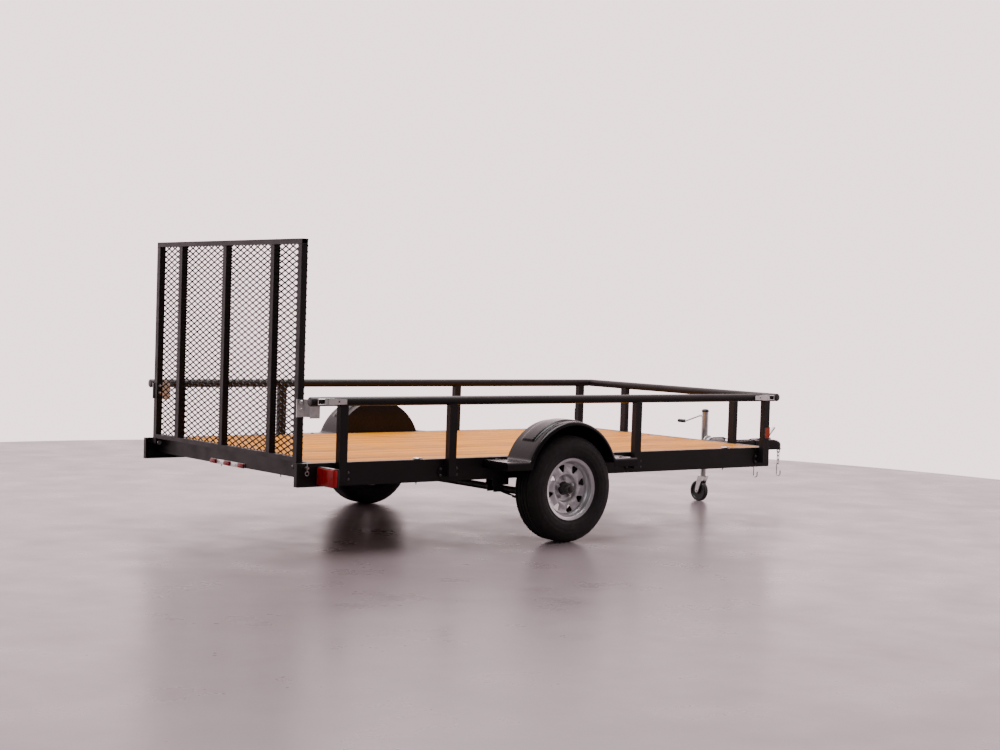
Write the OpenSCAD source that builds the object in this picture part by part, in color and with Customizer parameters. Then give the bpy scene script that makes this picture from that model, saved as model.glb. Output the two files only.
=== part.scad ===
// Single-axle utility trailer with a plank deck, tube side rails and a mesh ramp gate.
// +X points to the coupler, +Y to the left side, +Z up; the floor is at z = 0.
// The origin is on the floor, midway along the trailer's length and on its centre line.

/* [Frame] */
// Outside width of the frame
frame_w = 1820; // [1500:10:2100]
// Length of the frame, without the tongue
frame_len = 3640; // [3000:10:4200]
// Height of the deck's top above the floor
deck_z = 497; // [470:1:540]
// Height of the side channels
channel_h = 127; // [110:1:140]
// Flange width of the side channels
flange_w = 38; // [30:1:50]
// Wall thickness of the frame channels
steel = 4; // [3:0.5:6]
// Flange width of the front beam
front_flange = 45; // [30:1:60]
// Height of the rear beam
rear_beam_h = 90; // [70:1:100]
// Distance from the frame's rear end to the face of the rear beam
rear_beam_in = 85; // [80:1:120]
// Height of a cross member under the deck
cross_h = 50; // [30:1:60]
// Distance from the frame's rear end to the axle
axle_back = 1740; // [1500:10:1900]

/* [Tongue and coupler] */
// Reach of the coupler's nose ahead of the frame
tongue_reach = 1100; // [900:10:1300]
// Outside width and height of the square tongue tube
tongue_w = 76; // [60:1:90]
// Wall of the tongue tube
tongue_wall = 5; // [3:0.5:6]
// Diameter of the hitch ball that the coupler takes
ball_d = 50.8; // [47.6:0.1:58.8]

/* [Deck] */
// Number of deck boards
board_count = 12; // [8:1:14]
// Gap between two planks
board_gap = 5.5; // [2:0.5:12]
// Thickness of a deck board
board_t = 38; // [25:1:45]

/* [Rails and posts] */
// Outside diameter of the top rail tube
rail_od = 50.8; // [38:0.1:60]
// Wall of the top rail tube
rail_wall = 3; // [2:0.5:4]
// Height of the top rail's centre line above the floor
rail_z = 829; // [750:1:950]
// Size of a post along its rail
post_w = 51; // [40:1:60]
// Size of a post across its rail
post_d = 38; // [30:1:48]
// Length of a post's bolting plate
foot_plate_len = 147; // [130:1:170]
// Height of a post's bolting plate
foot_plate_h = 75; // [60:1:90]
// Thickness of a post's bolting plate
foot_plate_t = 5; // [3:1:8]
// Distance of the two front posts from the centre line
front_post_y = 546; // [400:1:700]

/* [Gate] */
// Distance of the gate's side inside the frame's side
gate_side = 69; // [65:1:150]
// Height of the gate's top above the floor
gate_top = 1695; // [1300:1:1900]
// Section of the gate's square uprights
gate_bar = 38; // [30:1:45]
// Height of the gate's top bar
gate_top_bar = 28; // [20:1:38]
// Distance of the inner uprights from the centre line
gate_inner_y = 535; // [300:1:650]
// Radius of a gate hinge pin
hinge_pin_r = 8; // [6:0.5:10]

/* [Wheels] */
// Outside diameter of the tyre
tyre_d = 626; // [560:1:690]
// Section width of the tyre
tyre_w = 185; // [155:1:205]
// Diameter of the rim's bead seat
rim_d = 330; // [300:1:380]
// Distance of a wheel's middle outside the frame's side
wheel_out = 130; // [120:1:150]
// Radius of the spindle
spindle_r = 15; // [12:0.5:20]
// Radius of the round axle tube
axle_r = 22; // [18:0.5:30]
// Drop of the axle tube below the spindles
axle_drop = 61; // [20:1:80]

/* [Fenders] */
// Outer radius of the fender's arch
fender_r = 355; // [345:1:400]
// Height of the arch's centre above the floor
fender_arch_z = 365; // [340:1:400]
// Outer width of a fender, from the frame
fender_w = 231; // [215:1:250]
// Sheet thickness of a fender
fender_t = 3; // [2:0.5:4]
// Half the length of a fender over its feet
fender_half = 500; // [450:1:560]
// Height of the top of a fender's feet above the floor
fender_foot_z = 485; // [470:1:500]

/* [Jack] */
// Distance of the jack ahead of the frame
jack_ahead = 470; // [400:1:560]
// Distance of the jack's tube from the centre line
jack_y = 160; // [158:1:190]
// Outside radius of the jack's outer tube
jack_r = 25.4; // [23:0.1:30]
// Radius of the caster wheel
caster_r = 75; // [60:1:80]
// Width of the caster wheel
caster_w = 46; // [30:1:50]
// Trail of the caster wheel behind its swivel
caster_trail = 35; // [20:1:40]

/* [Hidden] */
$fn = 64;

// Gap between pieces that touch, and radial clearance of a turning fit
fit = 0.3;
run = 0.06;

// Stations along the trailer
total_len = frame_len + tongue_reach;
x_rear = -total_len / 2;
x_front = x_rear + frame_len;
x_nose = x_front + tongue_reach;
x_axle = x_rear + axle_back;
half_w = frame_w / 2;
frame_bot = deck_z - channel_h;
in_w = half_w - steel - fit;
flange_y = half_w - flange_w;
corner_r = 12;

// Beams
rear_face = x_rear + rear_beam_in;
rear_flange = 36;
cross_top = deck_z - board_t;
cross_leg = 38;
cross_x = [for (k = [0 : 4]) x_axle - 1150 + k * 600];
tongue_top = cross_top - 7;
tongue_bot = tongue_top - tongue_w;
tongue_x0 = cross_x[3] + steel + fit;
tongue_x1 = x_nose - 240;

// Deck
deck_half = flange_y - 2;
board_w = (2 * deck_half - (board_count - 1) * board_gap) / board_count;
deck_x0 = rear_face + rear_flange + 2;
deck_x1 = x_front - front_flange - 2;

// Rails and posts
rail_r = rail_od / 2;
rail_y = half_w + foot_plate_t + post_d / 2 + fit;
front_rail_x = x_front + foot_plate_t + post_d / 2 + fit;
side_rail_x0 = x_rear + 52;
side_rail_x1 = front_rail_x - rail_r - fit;
front_rail_half = rail_y + 6;
post_x = [x_rear + 258, x_rear + 991, x_rear + 2413, x_front - 78];
post_bot = deck_z - 98;
post_wall = 3;
plate_z = deck_z - 74;
plate_bolt_dx = foot_plate_len / 2 - 17;
plate_bolt_dz = 18;
plate_bolt_r = 5;

// Gate
pin_x = x_rear + 50;
pin_z = deck_z - 23;
gate_half = half_w - gate_side;
gate_wall = 3;
gate_rear = pin_x - gate_bar / 2;
gate_front = pin_x + gate_bar / 2;
gate_low = deck_z + 3;
gate_low_bar = 25;
mesh_t = 2.5;
latch_z = rail_z - 40;

// Wheels and axle
wheel_z = tyre_d / 2;
axle_z = wheel_z - axle_drop;
rim_half = 76;
wheel_y = half_w + wheel_out;
hub_in = half_w + 40;
hub_face = wheel_y;
spring_y = half_w - 32;
spring_w = 44;
leaf_t = 6;
leaf_r = 885;
leaf_half = [130, 235, 345];
leaf_seat = axle_z - axle_r - fit - len(leaf_half) * leaf_t;
leaf_mid_r = leaf_r - 2.5 * leaf_t;
eye_dx = leaf_half[2];
eye_r = 13;
eye_bore = 6.5;
eye_z = leaf_seat + leaf_r - sqrt(leaf_mid_r * leaf_mid_r - eye_dx * eye_dx) + eye_r - leaf_t / 2;
shackle_dx = 45;
shackle_dz = 3;

// Jack
jack_x = x_front + jack_ahead;
jack_pivot_z = 440;
jack_bore = jack_r - 3.3;
jack_top = 655;
jack_low = 350;
leg_r = jack_bore - 0.08;
leg_bot = 190;
leg_top = 440;
kingpin_r = 8;
crank_z = 625;
crank_y = jack_y + 52;

// A block given by its two corners
module box(x0, x1, y0, y1, z0, z1) {
  translate([x0, y0, z0])
    cube([x1 - x0, y1 - y0, z1 - z0]);
}

// A round bar along Y
module bar_y(x, z, y0, y1, r) {
  translate([x, y0, z])
    rotate([-90, 0, 0])
      cylinder(h = y1 - y0, r = r);
}

// A round bar along X
module bar_x(y, z, x0, x1, r) {
  translate([x0, y, z])
    rotate([0, 90, 0])
      cylinder(h = x1 - x0, r = r);
}

// A round bar along Z
module bar_z(x, y, z0, z1, r) {
  translate([x, y, z0])
    cylinder(h = z1 - z0, r = r);
}

// The same piece on the other side of the trailer
module right_side() {
  mirror([0, 1, 0])
    children();
}

module both_sides() {
  children();
  right_side()
    children();
}

// ---------------------------------------------------------------- frame

// Plan of a side channel, inset from its outer faces, with its rear corner rounded
module channel_plan(inset) {
  r = corner_r - inset;
  cx = x_rear + inset + r;
  cy = half_w - inset - r;
  translate([cx, flange_y])
    square([x_front - cx, half_w - inset - flange_y]);
  translate([x_rear + inset, flange_y])
    square([r + 1, cy - flange_y]);
  translate([cx, cy])
    circle(r = r);
}

module side_channel() {
  flange_end = x_front - front_flange - fit;
  difference() {
    translate([0, 0, frame_bot])
      linear_extrude(channel_h)
        channel_plan(0);
    translate([0, 0, frame_bot + steel])
      linear_extrude(channel_h - 2 * steel)
        difference() {
          channel_plan(steel);
          translate([x_rear, flange_y - 1])
            square([steel, flange_w + 2]);
        }
    box(flange_end, x_front + 1, flange_y - 1, half_w - steel, frame_bot - 1, deck_z + 1);
    bar_y(pin_x, pin_z, half_w - steel - 1, half_w + 1, hinge_pin_r + fit);
  }
}

module front_beam() {
  x0 = x_front - front_flange;
  color("#2b2a2c")
    difference() {
      box(x0, x_front, -in_w, in_w, frame_bot, deck_z);
      box(x0 - 1, x_front - steel, -in_w - 1, in_w + 1, frame_bot + steel, deck_z - steel);
      box(x0 - 1, x_front + 1, -tongue_w / 2 - fit, tongue_w / 2 + fit, tongue_bot - fit, tongue_top + fit);
    }
}

module rear_beam() {
  cope_y = flange_y - fit;
  cope_z = deck_z - steel - fit;
  x1 = rear_face + rear_flange;
  z0 = deck_z - rear_beam_h;
  color("#2b2a2c")
    difference() {
      box(rear_face, x1, -in_w, in_w, z0, deck_z);
      box(rear_face + steel, x1 + 1, -in_w - 1, in_w + 1, z0 + steel, deck_z - steel);
      box(rear_face - 1, x1 + 1, cope_y, half_w, cope_z, deck_z + 1);
      box(rear_face - 1, x1 + 1, -half_w, -cope_y, cope_z, deck_z + 1);
    }
}

// One angle under the deck, its top leg carrying the boards
module cross_angle(x, y0, y1) {
  box(x, x + steel, y0, y1, cross_top - cross_h, cross_top);
  box(x, x + cross_leg, y0, y1, cross_top - steel, cross_top);
}

module cross_members() {
  tongue_side = tongue_w / 2 + fit;
  color("#2b2a2c")
    for (k = [0 : 4]) {
      if (k < 4)
        cross_angle(cross_x[k], -in_w, in_w);
      else
        both_sides()
          cross_angle(cross_x[k], tongue_side, in_w);
    }
}

module tongue() {
  color("#2b2a2c")
    difference() {
      box(tongue_x0, tongue_x1, -tongue_w / 2, tongue_w / 2, tongue_bot, tongue_top);
      box(tongue_x0 - 1, tongue_x1 + 1, tongue_wall - tongue_w / 2, tongue_w / 2 - tongue_wall,
          tongue_bot + tongue_wall, tongue_top - tongue_wall);
    }
}

module deck_boards() {
  color("#d9b98c")
    for (k = [0 : board_count - 1]) {
      y0 = -deck_half + k * (board_w + board_gap);
      box(deck_x0, deck_x1, y0, y0 + board_w, cross_top, deck_z);
    }
}

// ---------------------------------------------------------------- rails and posts

// A square post standing on z = post_bot, centred on x and y
module post_tube(dx, dy) {
  translate([-dx / 2, -dy / 2, post_bot])
    difference() {
      cube([dx, dy, rail_z - 10 - post_bot]);
      translate([post_wall, post_wall, -1])
        cube([dx - 2 * post_wall, dy - 2 * post_wall, rail_z - post_bot]);
    }
}

module side_posts() {
  difference() {
    for (x = post_x)
      translate([x, rail_y, 0])
        post_tube(post_w, post_d);
    bar_x(rail_y, rail_z, x_rear, x_front + 100, rail_r + fit);
  }
}

module front_posts() {
  color("#2b2a2c")
    difference() {
      both_sides()
        translate([front_rail_x, front_post_y, 0])
          post_tube(post_d, post_w);
      bar_y(front_rail_x, rail_z, -half_w, half_w, rail_r + fit);
    }
}

// A bolting plate with round ends, its back on y = 0 and its length along X
module post_plate() {
  end_r = foot_plate_h / 2;
  flat = foot_plate_len / 2 - end_r;
  difference() {
    union() {
      box(-flat, flat, 0, foot_plate_t, plate_z - end_r, plate_z + end_r);
      bar_y(-flat, plate_z, 0, foot_plate_t, end_r);
      bar_y(flat, plate_z, 0, foot_plate_t, end_r);
    }
    for (sx = [-1, 1], sz = [-1, 1])
      bar_y(sx * plate_bolt_dx, plate_z + sz * plate_bolt_dz, -1, foot_plate_t + 1, plate_bolt_r);
  }
}

module side_post_plates() {
  for (x = post_x)
    translate([x, half_w + fit / 2, 0])
      post_plate();
}

module post_plates_front() {
  color("#2b2a2c")
    both_sides()
      translate([x_front + fit / 2, front_post_y, 0])
        rotate([0, 0, -90])
          post_plate();
}

module side_rail() {
  difference() {
    bar_x(rail_y, rail_z, side_rail_x0, side_rail_x1, rail_r);
    bar_x(rail_y, rail_z, side_rail_x0 - 1, side_rail_x1 + 1, rail_r - rail_wall);
  }
}

module top_rail_front() {
  color("#2b2a2c")
    difference() {
      bar_y(front_rail_x, rail_z, -front_rail_half, front_rail_half, rail_r);
      bar_y(front_rail_x, rail_z, -front_rail_half - 1, front_rail_half + 1, rail_r - rail_wall);
    }
}

// A toggle latch on the outer side of a side rail: a saddle, a lever and a bail.
// It points along -X from its lever to its bail.
module toggle_latch() {
  seat_y = max(post_d / 2 + 12.5, rail_r + 6.1);
  out = seat_y - 12;
  difference() {
    box(0, 62, out, seat_y, -18, 18);
    bar_x(0, 0, -1, 63, rail_r + fit);
  }
  translate([20, seat_y, 0])
    rotate([90, 0, 180])
      translate([-118, 0, 0])
        linear_extrude(3)
          difference() {
            polygon([[0, -14], [0, 14], [118, 18], [118, -18]]);
            translate([50, 0])
              circle(r = 5);
          }
  for (sz = [-1, 1])
    bar_x(seat_y - 2, sz * 14, -42, 4, 3);
  bar_z(-42, seat_y - 2, -17, 17, 3);
}

module rail_latches() {
  color("#b9bcc0")
    both_sides() {
      translate([side_rail_x0 + 72, rail_y, rail_z])
        toggle_latch();
      translate([side_rail_x1 - 72, rail_y, rail_z])
        mirror([1, 0, 0])
          toggle_latch();
    }
}

// ---------------------------------------------------------------- fenders

// The sheet arch over the wheel between two radii and two widths, above a level
module arch(r_out, r_in, y0, y1, z_low) {
  intersection() {
    difference() {
      bar_y(x_axle, fender_arch_z, y0, y1, r_out);
      bar_y(x_axle, fender_arch_z, y0 - 1, y1 + 1, r_in);
    }
    box(x_axle - r_out - 1, x_axle + r_out + 1, y0 - 1, y1 + 1, z_low, fender_arch_z + r_out + 1);
  }
}

module fender() {
  y0 = half_w + fit;
  y1 = half_w + fender_w;
  foot_low = fender_foot_z - fender_t;
  lip_low = fender_foot_z - 48;
  arch_in = sqrt(pow(fender_r, 2) - pow(foot_low - fender_arch_z, 2)) - 6;
  lip_r = fender_r - 28;
  arch(fender_r, fender_r - fender_t, y0, y1, foot_low);
  arch(fender_r, lip_r, y1 - fender_t, y1, lip_low);
  arch(fender_r, 1, y0, y0 + fender_t, lip_low);
  for (s = [-1, 1])
    translate([x_axle, 0, 0])
      scale([s, 1, 1]) {
        box(arch_in, fender_half, y0, y1, foot_low, fender_foot_z);
        box(arch_in, fender_half, y1 - fender_t, y1, lip_low, fender_foot_z);
        box(arch_in, fender_half, y0, y0 + fender_t, lip_low, fender_foot_z);
      }
}

// ---------------------------------------------------------------- axle and springs

module axle() {
  arm_in = half_w + 4;
  arm_out = hub_in - 10;
  arm_r = 27;
  color("#3a3a3d")
    union() {
      bar_y(x_axle, axle_z, -arm_out, arm_out, axle_r);
      both_sides() {
        bar_y(x_axle, axle_z, arm_in, arm_out, arm_r);
        bar_y(x_axle, wheel_z, arm_in, arm_out, arm_r);
        box(x_axle - arm_r, x_axle + arm_r, arm_in, arm_out, axle_z, wheel_z);
        bar_y(x_axle, wheel_z, arm_out - 1, hub_in - 2, axle_r);
        bar_y(x_axle, wheel_z, arm_out - 1, hub_face + 26, spindle_r);
      }
    }
}

// One spring leaf: a slice of a wide ring, trimmed to its half length
module leaf(k) {
  r = leaf_r - k * leaf_t;
  zc = leaf_seat + leaf_r;
  y0 = spring_y - spring_w / 2;
  y1 = spring_y + spring_w / 2;
  intersection() {
    difference() {
      bar_y(x_axle, zc, y0, y1, r, $fn = 360);
      bar_y(x_axle, zc, y0 - 1, y1 + 1, r - leaf_t, $fn = 360);
    }
    box(x_axle - leaf_half[k], x_axle + leaf_half[k], y0 - 1, y1 + 1, leaf_seat - 1, leaf_seat + 100);
  }
}

module leaf_spring() {
  y0 = spring_y - spring_w / 2;
  y1 = spring_y + spring_w / 2;
  difference() {
    union() {
      for (k = [0 : 2])
        leaf(k);
      for (s = [-1, 1])
        bar_y(x_axle + s * eye_dx, eye_z, y0, y1, eye_r);
    }
    for (s = [-1, 1])
      bar_y(x_axle + s * eye_dx, eye_z, y0 - 1, y1 + 1, eye_bore);
  }
}

module spring_hangers() {
  y_in = spring_w / 2 + 1;
  plate = 5;
  pin_r = eye_bore - fit;
  rear_x = x_axle - eye_dx - shackle_dx;
  rear_z = eye_z + shackle_dz;
  rear_in = y_in + 4 + 0.5;
  front_x = x_axle + eye_dx;
  top = frame_bot - fit;
  color("#2b2a2c")
    both_sides()
      translate([0, spring_y, 0]) {
        for (s = [-1, 1]) {
          box(front_x - 28, front_x + 28, s * (y_in + plate / 2) - plate / 2,
              s * (y_in + plate / 2) + plate / 2, eye_z - 20, top);
          box(rear_x - 34, rear_x + 84, s * (rear_in + plate / 2) - plate / 2,
              s * (rear_in + plate / 2) + plate / 2, eye_z + 24, top);
          box(rear_x - 24, rear_x + 20, s * (rear_in + plate / 2) - plate / 2,
              s * (rear_in + plate / 2) + plate / 2, eye_z - 15, top - 1);
        }
        box(front_x - 28, front_x + 28, -y_in - plate, y_in + plate, top - plate, top);
        box(rear_x - 34, rear_x + 84, -rear_in - plate, rear_in + plate, top - plate, top);
        bar_y(front_x, eye_z, -y_in - plate - 6, y_in + plate + 6, pin_r);
        bar_y(rear_x, rear_z, -rear_in - plate - 6, rear_in + plate + 6, pin_r);
      }
}

// Two plates that hang from the rear hanger's pin, joined by the pin through the spring's eye
module spring_shackles() {
  y_in = spring_w / 2 + 1;
  plate = 4;
  pin_r = eye_bore - fit;
  color("#2b2a2c")
    both_sides()
      translate([x_axle - eye_dx, spring_y, eye_z]) {
        for (y = [-y_in - plate, y_in])
          translate([0, y + plate, 0])
            rotate([90, 0, 0])
              linear_extrude(plate)
                difference() {
                  hull() {
                    circle(r = eye_r, $fn = 32);
                    translate([-shackle_dx, shackle_dz])
                      circle(r = eye_r, $fn = 32);
                  }
                  translate([-shackle_dx, shackle_dz])
                    circle(r = eye_bore);
                }
        bar_y(0, 0, -y_in - plate, y_in + plate, pin_r);
      }
}

module axle_clamps() {
  leg_dx = axle_r + 7;
  leg_dy = spring_w / 2 + 6;
  rod = 5;
  plate_top = leaf_seat - fit;
  cross_z = axle_z + axle_r + fit + rod;
  color("#4a4a4c")
    both_sides()
      translate([x_axle, spring_y, 0]) {
        box(-leg_dx - 14, leg_dx + 14, -leg_dy - 5, leg_dy + 5, plate_top - 8, plate_top);
        for (sx = [-1, 1]) {
          for (sy = [-1, 1])
            bar_z(sx * leg_dx, sy * leg_dy, plate_top - 22, cross_z - 1, rod);
        }
        for (sy = [-1, 1]) {
          bar_x(sy * leg_dy, cross_z, -leg_dx, leg_dx, rod);
          for (sx = [-1, 1])
            translate([sx * leg_dx, sy * leg_dy, cross_z])
              sphere(r = rod);
        }
      }
}

// ---------------------------------------------------------------- wheels

// Turns a profile drawn as radius and offset into a ring on the wheel's axis.
// A positive offset points away from the trailer.
module on_wheel_axis() {
  translate([x_axle, wheel_y, wheel_z])
    rotate([-90, 0, 0])
      children();
}

module tyre() {
  r_out = tyre_d / 2;
  r_in = rim_d / 2 + 1;
  h = tyre_w / 2;
  on_wheel_axis()
    rotate_extrude($fn = 128)
      polygon([
        [r_in, -60], [r_in + 3, -66], [r_in + 16, -69.5], [r_in + 20, -77], [r_in + 45, -h + 2],
        [r_in + 75, -h], [r_out - 42, -h + 4], [r_out - 18, -h + 14], [r_out - 4, -h + 30],
        [r_out, -40], [r_out, 40], [r_out - 4, h - 30], [r_out - 18, h - 14], [r_out - 42, h - 4],
        [r_in + 75, h], [r_in + 45, h - 2], [r_in + 20, 77], [r_in + 16, 69.5], [r_in + 3, 66],
        [r_in, 60]
      ]);
}

// The wheel: a rolled barrel with a pressed disc, eight hand holes and five stud holes
module rim() {
  seat = rim_d / 2;
  hand_r = 112;
  on_wheel_axis()
    difference() {
      rotate_extrude($fn = 128)
        polygon([
          [seat + 15, -rim_half], [seat + 18, -rim_half + 2], [seat + 17, -rim_half + 5],
          [seat + 4, -rim_half + 8], [seat, -rim_half + 14], [seat, -40], [seat - 16, -28],
          [seat - 16, 20], [seat, 34], [seat, rim_half - 14], [seat + 4, rim_half - 8],
          [seat + 17, rim_half - 5], [seat + 18, rim_half - 2], [seat + 15, rim_half],
          [seat - 1, rim_half - 5], [seat - 4, rim_half - 14], [seat - 4, 36], [seat - 20, 22],
          [seat - 30, 24], [118, 32], [96, 34], [84, 28], [74, 6], [40.5, 6], [40.5, 1],
          [78, 1], [88, 24], [98, 29], [116, 27], [seat - 32, 19], [seat - 20, 16],
          [seat - 20, -27], [seat - 4, -41], [seat - 4, -rim_half + 14], [seat - 1, -rim_half + 5]
        ]);
      for (k = [0 : 7])
        rotate([0, 0, k * 45 + 22.5])
          translate([hand_r, 0, 10])
            cylinder(h = 40, r = 13);
      for (k = [0 : 4])
        rotate([0, 0, k * 72])
          translate([57.15, 0, -5])
            cylinder(h = 20, r = 7);
    }
}

// Hub with its flange, bored to turn on the spindle, and its grease cap
module hub() {
  inner = hub_in - wheel_y;
  on_wheel_axis()
    difference() {
      rotate_extrude($fn = 96)
        polygon([
          [0, inner], [36, inner], [36, inner + 40], [32, inner + 44], [32, -11], [68, -11],
          [70, -9], [70, 0.7], [34, 0.7], [34, 34], [27, 38], [27, 62], [24, 68], [0, 70]
        ]);
      translate([0, 0, inner - 1])
        cylinder(h = 28 - inner + 1, r = spindle_r + run);
    }
}

// ---------------------------------------------------------------- lights

tail_w = 168;
tail_h = 100;
tail_z = deck_z - 68;
tail_x = x_rear + 112;
tail_deep = 40;

module tail_light() {
  y0 = half_w + 5;
  color("#b3141c")
    union() {
      box(tail_x, tail_x + 14, y0 + 4, y0 + tail_w - 4, tail_z - tail_h / 2 + 4, tail_z + tail_h / 2 - 4);
      box(tail_x + 13, tail_x + tail_deep, y0, y0 + tail_w, tail_z - tail_h / 2, tail_z + tail_h / 2);
    }
}

module light_brackets() {
  x0 = tail_x + tail_deep + fit;
  color("#2b2a2c")
    both_sides() {
      box(x0, x0 + 3, half_w + fit, half_w + tail_w - 20, tail_z - 36, tail_z + 36);
      box(x0 - 34, x0 + 3, half_w + fit, half_w + 4, tail_z - 36, tail_z + 36);
    }
}

module id_lights() {
  z0 = deck_z - rear_beam_h - 4;
  strip_half = 197;
  lamp = 35;
  color("#b3141c")
    union() {
      box(rear_face - 2 - fit, rear_face - fit, -strip_half, strip_half, z0, z0 + 28);
      for (k = [-1 : 1])
        box(rear_face - 16, rear_face - 2, k * 162 - lamp, k * 162 + lamp, z0 + 1, z0 + 27);
    }
}

module reflectors() {
  y0 = rail_y + post_d / 2 + fit;
  color("#c8502c")
    both_sides()
      box(post_x[3] - 22, post_x[3] + 22, y0, y0 + 6, deck_z + 62, deck_z + 136);
}

// ---------------------------------------------------------------- small steel

module tie_down_loops() {
  ring_r = 24;
  wire = 4;
  loop_z = deck_z + fit + wire;
  color("#b9bcc0")
    both_sides()
      for (x = [x_rear + 800, x_rear + 3254])
        translate([x, flange_y + 10, loop_z]) {
          rotate_extrude()
            translate([ring_r, 0])
              circle(r = wire, $fn = 24);
          translate([0, ring_r, -wire])
            difference() {
              box(-9, 9, -9, 9, 0, 2 * wire + 3);
              translate([0, -ring_r, wire])
                rotate_extrude()
                  translate([ring_r, 0])
                    circle(r = wire, $fn = 24);
            }
        }
}

module gate_hinge_pins() {
  y0 = gate_half - gate_bar - 8;
  color("#b9bcc0")
    both_sides()
      difference() {
        union() {
          bar_y(pin_x, pin_z, y0, half_w + 22, hinge_pin_r);
          bar_y(pin_x, pin_z, y0 - 6, y0 + 0.5, hinge_pin_r + 5);
        }
        bar_z(pin_x, half_w + 14, pin_z - 20, pin_z + 20, 2.1);
      }
}

// A retaining pin dropped through each hinge pin, with a round wire eye to pull it by
module hairpin_clips() {
  wire = 2;
  eye = 11;
  eye_z = pin_z - 30;
  color("#d0d3d6")
    both_sides()
      translate([pin_x, half_w + 14, 0]) {
        bar_z(0, 0, eye_z + eye, pin_z + 24, wire);
        translate([0, 0, eye_z])
          rotate([90, 0, 0])
            rotate_extrude()
              translate([eye, 0])
                circle(r = wire, $fn = 24);
      }
}

// ---------------------------------------------------------------- coupler

ball_x = x_nose - 47;
coupler_x0 = x_nose - 300;

module coupler() {
  side = tongue_w / 2 + fit;
  wall = 4;
  roof = tongue_top + fit;
  low = tongue_bot + 6;
  nose_r = side + wall;
  color("#232224")
    difference() {
      union() {
        box(coupler_x0, ball_x, -nose_r, nose_r, low, roof + wall);
        bar_z(ball_x, 0, low, roof + wall, nose_r);
        bar_z(ball_x, 0, low, low + 7, nose_r + 4.7);
      }
      box(coupler_x0 - 1, tongue_x1 + 2, -side, side, low - 1, roof);
      box(tongue_x1 + 1, ball_x, -18, 18, low - 1, roof - 8);
      translate([ball_x, 0, roof - ball_d / 2 - 4])
        sphere(r = ball_d / 2 + 0.5);
      bar_z(ball_x, 0, low - 1, roof - ball_d / 2 - 4, ball_d / 2 + 0.5);
    }
}

module coupler_lever() {
  x0 = x_nose - 135;
  z0 = tongue_top + 4 + 2 * fit;
  color("#8e8f91")
    union() {
      box(x0 - 24, x0 + 30, -11, 11, z0, z0 + 12);
      translate([x0, -10, z0 + 8])
        rotate([0, -45, 0])
          cube([106, 20, 12]);
    }
}

// One chain link: two half rings joined by two straights, standing in the XZ plane
link_wire = 3.2;
link_r = 8.5;
link_straight = 18;
link_half = link_straight / 2 + link_r;
link_pitch = 2 * link_half - 2 * link_wire - fit;

module chain_link() {
  for (s = [-1, 1]) {
    translate([s * link_r, 0, -link_straight / 2])
      cylinder(h = link_straight, r = link_wire, $fn = 24);
    translate([0, 0, s * link_straight / 2])
      rotate([s * 90, 0, 0])
        rotate_extrude(angle = 180)
          translate([link_r, 0])
            circle(r = link_wire, $fn = 24);
  }
}

chain_x = [x_nose - 256, x_nose - 47];
chain_y = [0, -35.5];
chain_top = [tongue_bot - fit, tongue_bot + 6 - fit];
chain_links = 3;
bracket_up = 21;

// An S-hook on the last link. Its upper bend's middle is at the origin and it hangs in the XZ plane.
module s_hook(turn) {
  wire = 4.5;
  up = 11;
  down = 18;
  drop = 66;
  rotate([0, 0, turn]) {
    rotate([90, 0, 0])
      rotate_extrude(angle = 180)
        translate([up, 0])
          circle(r = wire, $fn = 24);
    translate([up, 0, -drop])
      cylinder(h = drop, r = wire, $fn = 24);
    translate([up - down, 0, -drop])
      rotate([-90, 0, 0])
        rotate_extrude(angle = 180)
          translate([down, 0])
            circle(r = wire, $fn = 24);
    translate([up - 2 * down, 0, -drop])
      cylinder(h = 22, r = wire, $fn = 24);
  }
}

// Two short chains, each from an eye plate under the tongue or the coupler
module safety_chains() {
  eye = 12;
  eye_wire = 4;
  color("#b9bcc0")
    for (k = [0, 1])
      translate([chain_x[k], chain_y[k], chain_top[k]]) {
        eye_z = -11;
        first = eye_z - eye + eye_wire + fit + link_wire - link_half;
        box(-14, 14, -6.5, 6.5, -3, 0);
        difference() {
          translate([0, 0, eye_z])
            rotate([0, 90, 0])
              rotate_extrude()
                translate([eye, 0])
                  circle(r = eye_wire, $fn = 24);
          box(-20, 20, -20, 20, -1, 20);
        }
        for (n = [0 : chain_links - 1])
          translate([0, 0, first - n * link_pitch])
            rotate([0, 0, 90 * (n % 2)])
              chain_link();
        hook_z = first - (chain_links - 1) * link_pitch - link_half + link_wire + fit + 4.5 - 11;
        translate([0, 0, hook_z])
          s_hook(90);
      }
}

// The wiring's route: out of the front beam, along the tongue, over the jack's bracket
// and onto the coupler, where it ends in a flat connector
wire_r = 3.5;
wire_low = tongue_top + wire_r + fit;
wire_high = tongue_top + bracket_up + wire_r + fit;
wire_stops = [
  [x_front + fit, 20, wire_low], [x_front + 90, 22, wire_low], [x_front + 250, 16, wire_low],
  [jack_x - 130, 20, wire_low], [jack_x - 75, 30, tongue_top + 12], [jack_x - 45, 33.5, wire_high],
  [jack_x - 5, 41.5, wire_high], [jack_x + 30, 41.5, wire_high], [jack_x + 65, 33.5, wire_high],
  [jack_x + 100, 27, tongue_top + 12], [jack_x + 150, 20, wire_low], [jack_x + 230, 12, wire_low],
  [jack_x + 300, 8, wire_low], [coupler_x0 + 6, 8, wire_low + 5.6], [coupler_x0 + 70, 10, wire_low + 5]
];

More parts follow.
